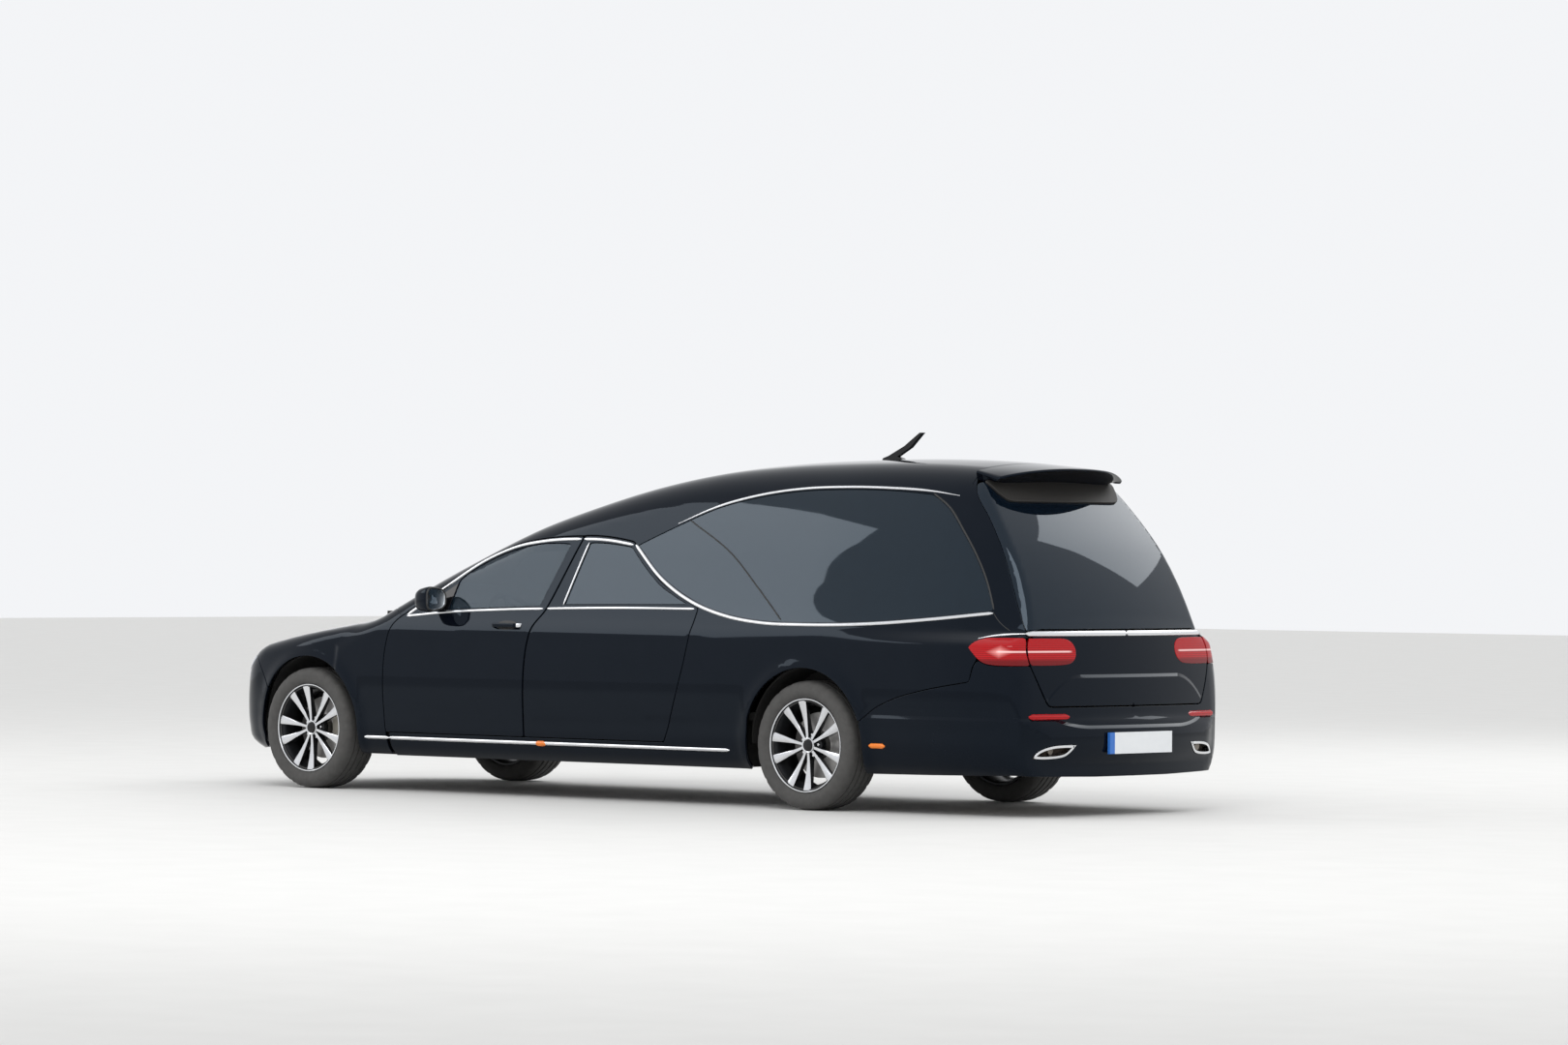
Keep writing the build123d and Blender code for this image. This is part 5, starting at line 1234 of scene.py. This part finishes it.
for y, s, z, width, height in FOOT_RINGS:
    across, upwards = oval(width, height, 2.6)
    foot_rings.append(columns(FRONT_AXLE_X - s + across, y, z + upwards))
mirror = tube_of(head_rings, [row[3] for row in MIRROR_RINGS]).take(tube_of(foot_rings, [1] * len(foot_rings)))
both_sides("mirror_*_head", mirror, [PAINT, TRIM_BLACK, MIRROR_GLASS], "door_front_*",
           ("mirror_*",), 50)

# Door handles
# Pull handles on the front doors only, painted, with a bright key end. Each is screwed to the door from
# behind, and a dark oval of painted shade lies under it, where the cup for the fingers is shaded.
HANDLE_S, HANDLE_LENGTH, HANDLE_Z = 1.415, 0.218, 0.9355
handle_rings = []
for t in np.linspace(0, 1, 25):
    s = HANDLE_S + HANDLE_LENGTH * t
    lift = min(1.0, math.sin(math.pi * t) * 2.6) ** 0.8
    skin_y = float(half_width(np.array(s), np.array(0.935)))
    across, upwards = oval(0.006 + 0.002 * lift, 0.0115, 2.6, 20)
    handle_rings.append(columns(FRONT_AXLE_X - s, skin_y - 0.004 + 0.030 * lift + across, HANDLE_Z + upwards))
grip = tube_of(handle_rings, [0] * 22 + [1] * 3)
both_sides("handle_*", grip, [PAINT, CHROME], "door_front_*", (), 50)
# Painted shade: a flat dark oval on the door skin under the handle stands in for the shade in the cup for the
# fingers.
PAINTED_SHADE_OUTLINE = flowing([(1.440, 0.935), (1.475, 0.956), (1.525, 0.961), (1.575, 0.956), (1.610, 0.935), (1.575, 0.915),
               (1.525, 0.910), (1.475, 0.915)])
painted_cup_shade = panel(Body(), on_side, PAINTED_SHADE_OUTLINE, step=0.012, sink=-0.0006, inner=0, **PANE)
both_sides("handle_cup_*", painted_cup_shade, [TRIM_BLACK], "door_front_*")

# Wheels
# Cast alloy rims with five double spokes: dark pockets, faces turned bright on a lathe, a plain cap and five
# bolts. Rim and tyre are built round their own axle at the origin, then set in place four times.
TYRE_OUTER, TRACK_HALF = 0.339, 0.802
REAR_AXLE_X = FRONT_AXLE_X - WHEELBASE
CORNERS = (("front_left", FRONT_AXLE_X, 1), ("front_right", FRONT_AXLE_X, -1),
           ("rear_left", REAR_AXLE_X, 1), ("rear_right", REAR_AXLE_X, -1))


def lathe(profile, steps, finish_of=lambda k: 0, shape_of=lambda u, r, i: r):
    """Turns a closed profile of (distance out along the axle, radius) round the Y axis."""
    body = Body()
    count = len(profile)
    for i in range(steps):
        angle = 2 * math.pi * i / steps
        radii = [shape_of(u, r, i) for u, r in profile]
        body.add([(r * math.cos(angle), u, r * math.sin(angle)) for (u, _), r in zip(profile, radii)],
                 np.zeros((count, 3)), [])
    for i in range(steps):
        here, there = i * count, (i + 1) % steps * count
        for k in range(count):
            after = (k + 1) % count
            body.faces.append((here + k, there + k, there + after, here + after))
            body.finish.append(finish_of(k))
    return body


def round_the_axle(name, body, count, finishes):
    """Copies a body round the Y axis with Geometry Nodes. Its finishes 0 and 1 are dark and bright."""
    tree = bpy.data.node_groups.new(name, "GeometryNodeTree")
    tree.is_modifier = True
    tree.interface.new_socket("Geometry", in_out="INPUT", socket_type="NodeSocketGeometry")
    copies = tree.interface.new_socket("Copies", in_out="INPUT", socket_type="NodeSocketInt")
    tree.interface.new_socket("Geometry", in_out="OUTPUT", socket_type="NodeSocketGeometry")
    source, points, copy, index, share, turn, spin, real, picked, dark, bright, result = map(tree.nodes.new, (
        "NodeGroupInput", "GeometryNodePoints", "GeometryNodeInstanceOnPoints", "GeometryNodeInputIndex",
        "ShaderNodeMath", "ShaderNodeMath", "ShaderNodeCombineXYZ", "GeometryNodeRealizeInstances",
        "GeometryNodeInputNamedAttribute", "GeometryNodeSetMaterial", "GeometryNodeSetMaterial",
        "NodeGroupOutput"))
    share.operation, turn.operation, picked.data_type = "DIVIDE", "MULTIPLY", "BOOLEAN"
    turn.inputs[1].default_value = 2 * math.pi
    picked.inputs["Name"].default_value = "bright"
    for node, finish in zip((dark, bright), finishes):
        node.inputs["Material"].default_value = finish
    for start, out, end, into in (
            (source, "Copies", points, "Count"), (points, 0, copy, "Points"),
            (source, "Geometry", copy, "Instance"),
            (index, 0, share, 0), (source, "Copies", share, 1), (share, 0, turn, 0), (turn, 0, spin, 1),
            (spin, 0, copy, "Rotation"), (copy, 0, real, 0), (real, 0, dark, "Geometry"),
            (dark, 0, bright, "Geometry"), (picked, "Attribute", bright, "Selection"), (bright, 0, result, 0)):
        tree.links.new(start.outputs[out], end.inputs[into])
    seed = mesh_of(name, body)
    mark = seed.attributes.new("bright", "BOOLEAN", "FACE")
    mark.data.foreach_set("value", [number == 1 for number in body.finish])
    holder = bpy.data.objects.new(name, seed)
    bpy.context.scene.collection.objects.link(holder)
    modifier = holder.modifiers.new(name, "NODES")
    modifier.node_group = tree
    modifier[copies.identifier] = count
    holder.update_tag()
    bpy.context.view_layer.update()
    made = bpy.data.meshes.new_from_object(holder.evaluated_get(bpy.context.evaluated_depsgraph_get()))
    holder.modifiers.clear()
    bpy.data.objects.remove(holder)
    return made


def renumbered(mesh, finishes):
    """Sets each face's number to its material's place in the list of finishes."""
    order = [finishes.index(finish) if finish else 0 for finish in mesh.materials]
    for face in mesh.polygons:
        face.material_index = order[face.material_index]
    return mesh


SPOKE_ROWS = ((0.036, 0.017, 0.082, 0.030), (0.060, 0.018, 0.080, 0.034), (0.090, 0.021, 0.080, 0.040),
              (0.130, 0.029, 0.083, 0.046), (0.170, 0.039, 0.087, 0.052), (0.205, 0.049, 0.0925, 0.060),
              (0.222, 0.054, 0.0955, 0.066), (0.236, 0.058, 0.0975, 0.080))


def spoke_pair():
    """Two broad spokes that meet at the hub and flare to the rim. Rows: radius, width, face, back."""
    pair = Body()
    for side in (-1, 1):
        rings = []
        for r, width, face, back in SPOKE_ROWS:
            middle = side * (0.009 + 0.275 * (r - 0.036))
            half = width / 2
            low = face - 0.004 - 0.010 * min(1.0, r / 0.2)
            flank = ((half * 0.80, face), (half * 0.93, face - 0.0015), (half, low), (half * 0.55, back))
            rings.append([(r, u, middle + w) for w, u in [(-w, u) for w, u in reversed(flank)] + list(flank)])
        spoke = tube_of(rings)
        walls = len(spoke.faces) - 2
        spoke.finish = [int(i < walls and i % 8 in (2, 3, 4)) for i in range(walls + 2)]
        pair.take(spoke)
    return pair


def bolt_body():
    outline = ((0.050, 0.0), (0.050, 0.0085), (0.066, 0.0085), (0.0675, 0.0070), (0.0675, 0.0))
    body = lathe(outline, 6, lambda k: 1)
    # Set on the bolt circle, 56 mm from the axle and 36 degrees round, between two pairs of spokes
    body.points = [(x * 0.81 - z * 0.59 + 0.0453, y, x * 0.59 + z * 0.81 + 0.0329) for x, y, z in body.points]
    return body


RIM_LINE = ((-0.105, 0.236), (-0.105, 0.2455), (-0.096, 0.2455), (-0.094, 0.229), (-0.060, 0.227),
            (-0.020, 0.216), (0.050, 0.215), (0.085, 0.226), (0.094, 0.229), (0.096, 0.2455), (0.103, 0.2460),
            (0.1055, 0.2445), (0.1055, 0.2395), (0.1035, 0.2380), (0.0960, 0.2340), (0.0860, 0.2260),
            (0.0500, 0.2090), (-0.020, 0.209), (-0.090, 0.226))
HUB_LINE = ((0.020, 0.0), (0.020, 0.072), (0.050, 0.070), (0.056, 0.062), (0.058, 0.046), (0.080, 0.043),
            (0.0845, 0.040), (0.0855, 0.036), (0.0835, 0.0325), (0.0830, 0.0310), (0.0865, 0.0295),
            (0.0880, 0.024), (0.0890, 0.0))
DISC_LINE = ((-0.038, 0.078), (-0.038, 0.171), (-0.037, 0.172), (-0.028, 0.172), (-0.028, 0.165),
             (-0.024, 0.165), (-0.024, 0.172), (-0.015, 0.172), (-0.014, 0.171), (-0.014, 0.090),
             (-0.010, 0.078), (0.020, 0.072), (0.020, 0.040), (-0.020, 0.040))
# Half the tyre's section from the bead out to the tread; its mirror image leads back to the other bead.
TYRE_HALF = [(0.0947, 0.2285), (0.0950, 0.243), (0.1010, 0.2495), (0.1090, 0.2530), (0.1150, 0.2620),
             (0.1195, 0.2730), (0.1215, 0.2850), (0.1210, 0.2950), (0.1180, 0.3070), (0.1130, 0.3180),
             (0.1060, 0.3265), (0.1000, 0.3305), (0.0920, 0.3340), (0.0800, 0.3362)]
for middle in (0.060, 0.022):
    top = TYRE_OUTER - 0.0028 * (middle / 0.08) ** 2
    TYRE_HALF += [(middle + 0.0055, top), (middle + 0.0045, top - 0.007), (middle - 0.0045, top - 0.007),
                  (middle - 0.0055, top)]


def shoulder_cuts(u, r, i):
    """Cross grooves in the shoulders: every sixth step of the turn is lower."""
    return r - 0.0045 if i % 6 == 0 and 0.066 < abs(u) < 0.110 and r > 0.322 else r


ALLOY = bright_metal("turned_alloy_face", (0.74, 0.75, 0.77), 0.20)
ALLOY_DARK = uneven("dark_alloy_pocket", (0.012, 0.013, 0.015), (0.024, 0.026, 0.029), 90.0, Metallic=0.6,
                    Roughness=0.35).material
DISC_IRON = uneven("brake_disc_iron", (0.32, 0.31, 0.30), (0.46, 0.45, 0.44), 30.0, 4.0, (0.28, 0.2, 180.0),
                   Metallic=1.0).material
RUBBER = uneven("tyre_rubber", (0.046, 0.045, 0.044), (0.085, 0.083, 0.080), 26.0, 5.0, (0.72, 0.2, 70.0),
                (700.0, 2.0, 0.3, 0.0006)).material
RIM_FINISHES = [ALLOY_DARK, ALLOY, CHROME, DISC_IRON, GLOSS_BLACK]
turned_parts = lathe(RIM_LINE, 120, lambda k: int(9 <= k <= 12)).take(
    lathe(HUB_LINE, 48, lambda k: 1 if 5 <= k <= 8 else 4 if k >= 9 else 0), lathe(DISC_LINE, 96, lambda k: 3))
rim_parts = [renumbered(round_the_axle("spokes", spoke_pair(), 5, (ALLOY_DARK, ALLOY)), RIM_FINISHES),
             renumbered(round_the_axle("bolts", bolt_body(), 5, (ALLOY_DARK, CHROME)), RIM_FINISHES),
             mesh_of("rim", turned_parts)]
tyre_line = TYRE_HALF + [(-u, r) for u, r in reversed(TYRE_HALF)]
tyre_parts = [mesh_of("tyre", lathe(tyre_line, 144, shape_of=shoulder_cuts))]
WHEEL_TURN = math.radians(5)
for corner, x, sign in CORNERS:
    for label, parts, finishes, slot in (("wheel_", rim_parts, RIM_FINISHES, "alloy"),
                                         ("tyre_", tyre_parts, [RUBBER], "tyre")):
        work = bmesh.new()
        for part in parts:
            work.from_mesh(part)
        bmesh.ops.rotate(work, verts=work.verts, matrix=Matrix.Rotation(WHEEL_TURN, 3, "Y"))
        bmesh.ops.scale(work, verts=work.verts, vec=(1, sign, 1))
        bmesh.ops.translate(work, verts=work.verts, vec=(x, sign * TRACK_HALF, WHEEL_Z))
        mesh = bpy.data.meshes.new(label + corner)
        work.to_mesh(mesh)
        work.free()
        make_piece(label + corner + "_part", mesh, finishes, "wheel_" + corner, (label + corner,), 40)

# Underside and running gear
# Pressed steel floor with wheel houses in black underseal, black coated subframes, cast arms and hubs, one
# engine block and a moulded tank. Their shapes are the CAD's own.
def dress(finish, *names):
    for name in names:
        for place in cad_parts[name].material_slots:
            place.material = finish.material


UNDERSEAL = uneven("black_underseal", (0.006, 0.006, 0.006), (0.020, 0.019, 0.018), 7.0, 5.0,
                   bump=(160.0, 3.0, 0.4, 0.001), Roughness=0.8)
dress(UNDERSEAL, "floor_pan")
dress(uneven("black_coated_steel", (0.012, 0.012, 0.012), (0.030, 0.028, 0.026), 12.0, 4.0, Roughness=0.5),
      "subframes", "front_suspension", "rear_suspension")
dress(uneven("cast_engine_block", (0.06, 0.06, 0.06), (0.16, 0.16, 0.155), 18.0, 5.0, (0.45, 0.3, 50.0),
             Metallic=0.7), "engine")
dress(uneven("moulded_tank_plastic", (0.008, 0.008, 0.008), (0.018, 0.018, 0.018), 9.0, Roughness=0.55),
      "fuel_tank")
casting = uneven("cast_hub_metal", (0.10, 0.09, 0.08), (0.20, 0.19, 0.18), 40.0, 4.0, (0.5, 0.2, 120.0),
                 Metallic=0.8)
x, y = casting.axes()[:2]
caliper = ((FRONT_AXLE_X - 0.085 - x) * 300.0).clipped() * ((y.size() - 0.70) * 100.0).clipped()
casting.feed("Base Color", casting.mixed(caliper, casting.colour, (0.52, 0.49, 0.43)))
dress(casting, "knuckle_left", "knuckle_right")

# Rear arch liners
# Moulded black liners that close the foot of the rear wheel houses towards the bumper. They are screwed to
# the body and follow the bumper's edge in three steps.
def blocks(name, boxes, finishes, rides, replaces=(), bevel=0.004):
    """Boxes with rounded edges in one piece. Each: s range, y range, z range, number of its finish."""
    whole = bmesh.new()
    for (s0, s1), (y0, y1), (z0, z1), number in boxes:
        one = bmesh.new()
        bmesh.ops.create_cube(one, size=1.0)
        bmesh.ops.scale(one, verts=one.verts, vec=(s1 - s0, y1 - y0, z1 - z0))
        middle = (FRONT_AXLE_X - (s0 + s1) / 2, (y0 + y1) / 2, (z0 + z1) / 2)
        bmesh.ops.translate(one, verts=one.verts, vec=middle)
        bmesh.ops.bevel(one, geom=list(one.edges), offset=bevel, segments=3, profile=0.5, affect="EDGES")
        for face in one.faces:
            face.material_index = number
        part = bpy.data.meshes.new("part")
        one.to_mesh(part)
        one.free()
        whole.from_mesh(part)
        bpy.data.meshes.remove(part)
    mesh = bpy.data.meshes.new(name)
    whole.to_mesh(mesh)
    whole.free()
    return make_piece(name, mesh, finishes, rides, replaces, 40)


def across_car(sign, low, high):
    """A range of y on one side of the car."""
    return sorted((sign * low, sign * high))


LINER_STEPS = ((0.560, 0.862, 0.212), (0.850, 0.888, 0.250), (0.875, 0.910, 0.290))
blocks("rear_arch_liners", [((4.092, 4.100), across_car(sign, low, high), (foot_z, 0.420), 0)
                            for sign in (1, -1) for low, high, foot_z in LINER_STEPS],
       [UNDERSEAL.material], "body", (), 0.003)

# Plates and aerial
# Pressed metal plates, blank and white, with a plain blue band at the left end, screwed to the bumpers. The
# aerial is a moulded blade in gloss black on the roof.
plate = Finish("blank_white_plate", Roughness=0.35)
x, y = plate.axes()[:2]
blue = ((y * ((x < 0.0) * 2.0 - 1.0) - 0.220) * 3000.0).clipped()
white = plate.mixed(plate.noise(16.0), (0.74, 0.77, 0.80), (0.82, 0.84, 0.86))
plate.feed("Base Color", plate.mixed(blue, white, (0.03, 0.16, 0.55)))
dress(plate, "plates")
dress(GLOSS_FINISH, "aerial")

# Load deck and partition
# A lacquered plywood deck with rubber rollers and bright side rails; behind the seats a partition covered in
# black felt.
deck = Finish("lacquered_deck", IOR=1.5)
y, z = deck.axes()[1:]
fitting = ((z - 0.7212) * 4000.0).clipped()
boards = 1.0 - (((y * 32.0).sine().size() - 0.04) * 30.0).clipped()
along_grain = deck.node("ShaderNodeMapping", Vector=deck.place(), Scale=(1.0, 14.0, 14.0))[0]
grain = deck.noise(3.0, 6.0, along_grain)
wood = deck.mixed(grain, (0.055, 0.022, 0.009), (0.17, 0.075, 0.032))
wood = deck.mixed(boards * 0.8, wood, (0.012, 0.006, 0.004))
metal = deck.mixed(deck.noise(80.0), (0.52, 0.53, 0.54), (0.68, 0.69, 0.70))
deck.feed("Base Color", deck.mixed(fitting, wood, metal)).feed("Metallic", fitting)
deck.feed("Roughness", 0.22 + 0.12 * grain)
dress(deck, "load_deck")
dress(uneven("black_felt", (0.010, 0.010, 0.011), (0.028, 0.028, 0.030), 300.0, 2.0,
             bump=(900.0, 2.0, 0.5, 0.001), Roughness=0.95), "partition")

# Dashboard and steering wheel
# A soft grained moulding with a hood over the instruments, a gloss screen in the middle and one behind the
# steering wheel, which is covered in leather and turns about its column.
leather = uneven("black_leather", (0.012, 0.011, 0.011), (0.024, 0.022, 0.021), 10.0, IOR=1.5)
pores = leather.noise(420.0)
LEATHER = leather.feed("Roughness", 0.36 + 0.16 * pores).bump(pores, 0.35, 0.0005).material
dress(leather, "steering_wheel")
SOFT = uneven("grained_dashboard", (0.012, 0.012, 0.012), (0.022, 0.022, 0.022), 12.0,
              bump=(600.0, 2.0, 0.35, 0.0006), Roughness=0.7).material
DASH_SECTION = ((0.530, 0.705), (0.525, 0.900), (0.545, 0.936), (0.640, 0.950), (0.760, 0.960), (0.860, 0.966),
                (0.915, 0.962), (0.940, 0.945), (0.945, 0.905), (0.928, 0.860), (0.905, 0.800), (0.890, 0.720),
                (0.870, 0.702))
DASH_TOP_Z, SEAT_Y = 0.93, 0.370
dash_rings = []
for y in np.concatenate([[-0.684, -0.680], np.linspace(-0.660, 0.660, 45), [0.680, 0.684]]):
    hood = 0.034 * math.exp(-((y - SEAT_Y) / 0.17) ** 4)
    shrink = 0.010 * (abs(y) > 0.682)
    rises = [hood * min(1.0, max(0.0, (s - 0.70) / 0.15)) * (z > DASH_TOP_Z) for s, z in DASH_SECTION]
    dash_rings.append([(FRONT_AXLE_X - s + shrink * (s > 0.8), y, z - shrink * (z > 0.9) + rise)
                       for (s, z), rise in zip(DASH_SECTION, rises)])
make_piece("dashboard_moulding", tube_of(dash_rings), [SOFT], "body", ("dashboard",), 50)
blocks("dashboard_screens", [
    ((0.938, 0.952), (-0.130, 0.110), (0.900, 0.985), 0), ((0.934, 0.949), (0.250, 0.490), (0.905, 0.975), 0),
    ((0.932, 0.950), (-0.600, -0.480), (0.890, 0.930), 0),
    ((0.932, 0.950), (0.560, 0.640), (0.890, 0.930), 0)],
    [GLOSS_BLACK], "body")

# Loading sill
# A grained plastic cover over the body's edge under the gate, at the way into the load space. It is clipped
# on and hides the lock and the seams.
blocks("loading_sill", [
    ((4.780, 5.015), (-0.600, 0.600), (0.532, 0.555), 0), ((4.990, 5.110), (-0.380, 0.380), (0.530, 0.553), 0)],
    [GRAINED], "body")

# Door arm rests
# Each door has a padded leather rest with a bright pull above it and a moulded pocket below. They are screwed
# to the door's inner panel.
for place, start in (("front", 1.060), ("rear", 2.080)):
    for side, sign in (("left", 1), ("right", -1)):
        door_name = "door_" + place + "_" + side
        blocks(door_name + "_arm_rest", [
            ((start, start + 0.460), across_car(sign, 0.768, 0.836), (0.715, 0.765), 0),
            ((start + 0.010, start + 0.110), across_car(sign, 0.812, 0.838), (0.845, 0.872), 1),
            ((start - 0.120, start + 0.500), across_car(sign, 0.790, 0.838), (0.420, 0.500), 2)],
            [LEATHER, CHROME, GRAINED], door_name, (), 0.010)

# Seats
# Two rows of single seats in black leather over foam. Cushions, backs and head pads are puffed by a cloth
# simulation, then their sewn channels are pressed in. They stand on black bases; the head pads on steel posts.
PUFF_FRAMES, PUFF_PRESSURE = 20, 4.0


def stuffed(name, body, voxel=0.013, cap=0.016):
    """Remeshes a closed form, blows it up as cloth, by no more than cap at any point, and smooths it."""
    work = bmesh.new()
    work.from_mesh(mesh_of(name, body))
    bmesh.ops.recalc_face_normals(work, faces=work.faces)
    mesh = bpy.data.meshes.new(name)
    work.to_mesh(mesh)
    work.free()
    holder = bpy.data.objects.new(name, mesh)
    bpy.context.scene.collection.objects.link(holder)
    remesh = holder.modifiers.new("remesh", "REMESH")
    remesh.mode, remesh.voxel_size = "VOXEL", voxel

    def applied():
        bpy.context.view_layer.update()
        return bpy.data.meshes.new_from_object(holder.evaluated_get(bpy.context.evaluated_depsgraph_get()))

    mesh = applied()
    holder.modifiers.clear()
    holder.data = mesh
    flat = np.empty(len(mesh.vertices) * 3)
    mesh.vertices.foreach_get("co", flat)
    cloth = holder.modifiers.new("cloth", "CLOTH")
    cloth.settings.use_pressure = True
    cloth.settings.uniform_pressure_force = PUFF_PRESSURE
    cloth.settings.effector_weights.gravity = 0.0
    cloth.point_cache.frame_start, cloth.point_cache.frame_end = 1, PUFF_FRAMES
    for at in range(1, PUFF_FRAMES + 1):
        bpy.context.scene.frame_set(at)
    blown = np.empty(len(flat))
    applied().vertices.foreach_get("co", blown)
    bpy.context.scene.frame_set(1)
    holder.modifiers.clear()
    move = (blown - flat).reshape(-1, 3)
    length = np.linalg.norm(move, axis=1)[:, None]
    flat += (move * np.minimum(1.0, cap / np.maximum(length, 1e-9))).ravel()
    mesh.vertices.foreach_set("co", flat)
    rounder = holder.modifiers.new("rounder", "SUBSURF")
    rounder.levels = rounder.render_levels = 1
    mesh = applied()
    holder.modifiers.clear()
    bpy.data.objects.remove(holder)
    return mesh


def sewn(mesh, *seams, depth=0.007, width=0.007):
    """Presses channels into a mesh: each seam tells how far a point lies from it."""
    count = len(mesh.vertices)
    spots, turns = np.empty(count * 3), np.empty(count * 3)
    mesh.vertices.foreach_get("co", spots)
    mesh.vertices.foreach_get("normal", turns)
    spots, turns = spots.reshape(-1, 3), turns.reshape(-1, 3)
    away = np.min([seam(*spots.T) for seam in seams], axis=0)
    spots -= turns * (depth * np.exp(-(away / width) ** 2))[:, None]
    mesh.vertices.foreach_set("co", spots.ravel())
    mesh.update()
    return mesh


def seat_form(rows, upright, bolster):
    """Rings through a pad. Rows: how far back, half width, half thickness, height."""
    rings = []
    for back, width, thick, z in rows:
        across, through = oval(width, thick, 4.0, 48)
        through = through + bolster * ramp(np.abs(across), 0.13, 0.20) * (through > 0)
        rings.append(columns(through - back, across, z) if upright else columns(-back, across, z + through))
    return tube_of(rings)


CUSHION = (
    (-0.472, 0.190, 0.016, 0.488), (-0.464, 0.212, 0.030, 0.490), (-0.430, 0.222, 0.038, 0.495),
    (-0.200, 0.226, 0.038, 0.496), (0.000, 0.224, 0.038, 0.488), (0.020, 0.212, 0.030, 0.486),
    (0.028, 0.190, 0.016, 0.486))
BACK = (
    (0.062, 0.190, 0.018, 0.535), (0.064, 0.212, 0.034, 0.543), (0.078, 0.222, 0.042, 0.590),
    (0.140, 0.224, 0.042, 0.800), (0.205, 0.210, 0.038, 1.020), (0.232, 0.190, 0.034, 1.092),
    (0.238, 0.165, 0.022, 1.110), (0.240, 0.140, 0.010, 1.114))
HEAD_PAD = (
    (0.243, 0.080, 0.010, 1.150), (0.243, 0.100, 0.024, 1.156), (0.243, 0.110, 0.032, 1.180),
    (0.243, 0.110, 0.032, 1.240), (0.243, 0.098, 0.024, 1.266), (0.243, 0.080, 0.010, 1.272))
CHANNEL_HALF, SIDE_SEAM_Y, CUSHION_UNDER_Z, BACK_SEAM_TOP_Z = 0.15, 0.155, 0.50, 1.05
NO_SEAM = 9.0


def rear_side(x, z):
    """Whether a point of the back lies behind its middle, where no seam runs."""
    return x < 0.04 - 0.32 * (z - 0.54) - 0.08


def cross_seam(part, at):
    """A seam from side to side: on the cushion at one x, on the back at one z."""
    def away(x, y, z):
        off = z < CUSHION_UNDER_Z if part == "cushion" else rear_side(x, z)
        return np.abs((x if part == "cushion" else z) - at) + NO_SEAM * ((np.abs(y) > CHANNEL_HALF) | off)
    return away


def side_seam(part):
    """The two seams along the bolsters."""
    def away(x, y, z):
        off = z < CUSHION_UNDER_Z if part == "cushion" else (z > BACK_SEAM_TOP_Z) | rear_side(x, z)
        return np.abs(np.abs(y) - SIDE_SEAM_Y) + NO_SEAM * off
    return away


cushion = sewn(stuffed("cushion", seat_form(CUSHION, False, 0.018)), side_seam("cushion"),
               *(cross_seam("cushion", at) for at in (0.10, 0.22, 0.34)))
back = sewn(stuffed("back", seat_form(BACK, True, 0.016)), side_seam("back"),
            *(cross_seam("back", at) for at in (0.66, 0.77, 0.88, 0.99)))
head_pad = stuffed("head_pad", seat_form(HEAD_PAD, True, 0.0), 0.011, 0.008)
# Under each seat, from its place: x range back, y range, z range, finish
BASE_BOXES = (
    ((-0.430, 0.020), (-0.205, 0.205), (0.330, 0.462), 0),
    ((-0.400, 0.030), (-0.200, -0.150), (0.2505, 0.335), 0),
    ((-0.400, 0.030), (0.150, 0.200), (0.2505, 0.335), 0),
    ((-0.020, 0.060), (-0.215, 0.215), (0.440, 0.520), 0),
    ((0.238, 0.248), (-0.062, -0.052), (1.090, 1.170), 1), ((0.238, 0.248), (0.052, 0.062), (1.090, 1.170), 1))
bases = []
for place, row in (("front", 1.640), ("rear", 2.500)):
    for side, y in (("left", SEAT_Y), ("right", -SEAT_Y)):
        for form, label in ((cushion, "cushion"), (back, "back"), (head_pad, "head_pad")):
            mesh = form.copy()
            mesh.transform(Matrix.Translation((FRONT_AXLE_X - row, y, 0.0)))
            name = "_".join(("seat", place, side, label))
            pad = make_piece(name, mesh, [LEATHER], "body", (), 180)
        bases += [((row + s0, row + s1), (y + y0, y + y1), high, number)
                  for (s0, s1), (y0, y1), high, number in BASE_BOXES]
blocks("seat_bases", bases, [TRIM_BLACK, CHROME], "body", ("seats",), 0.0035)
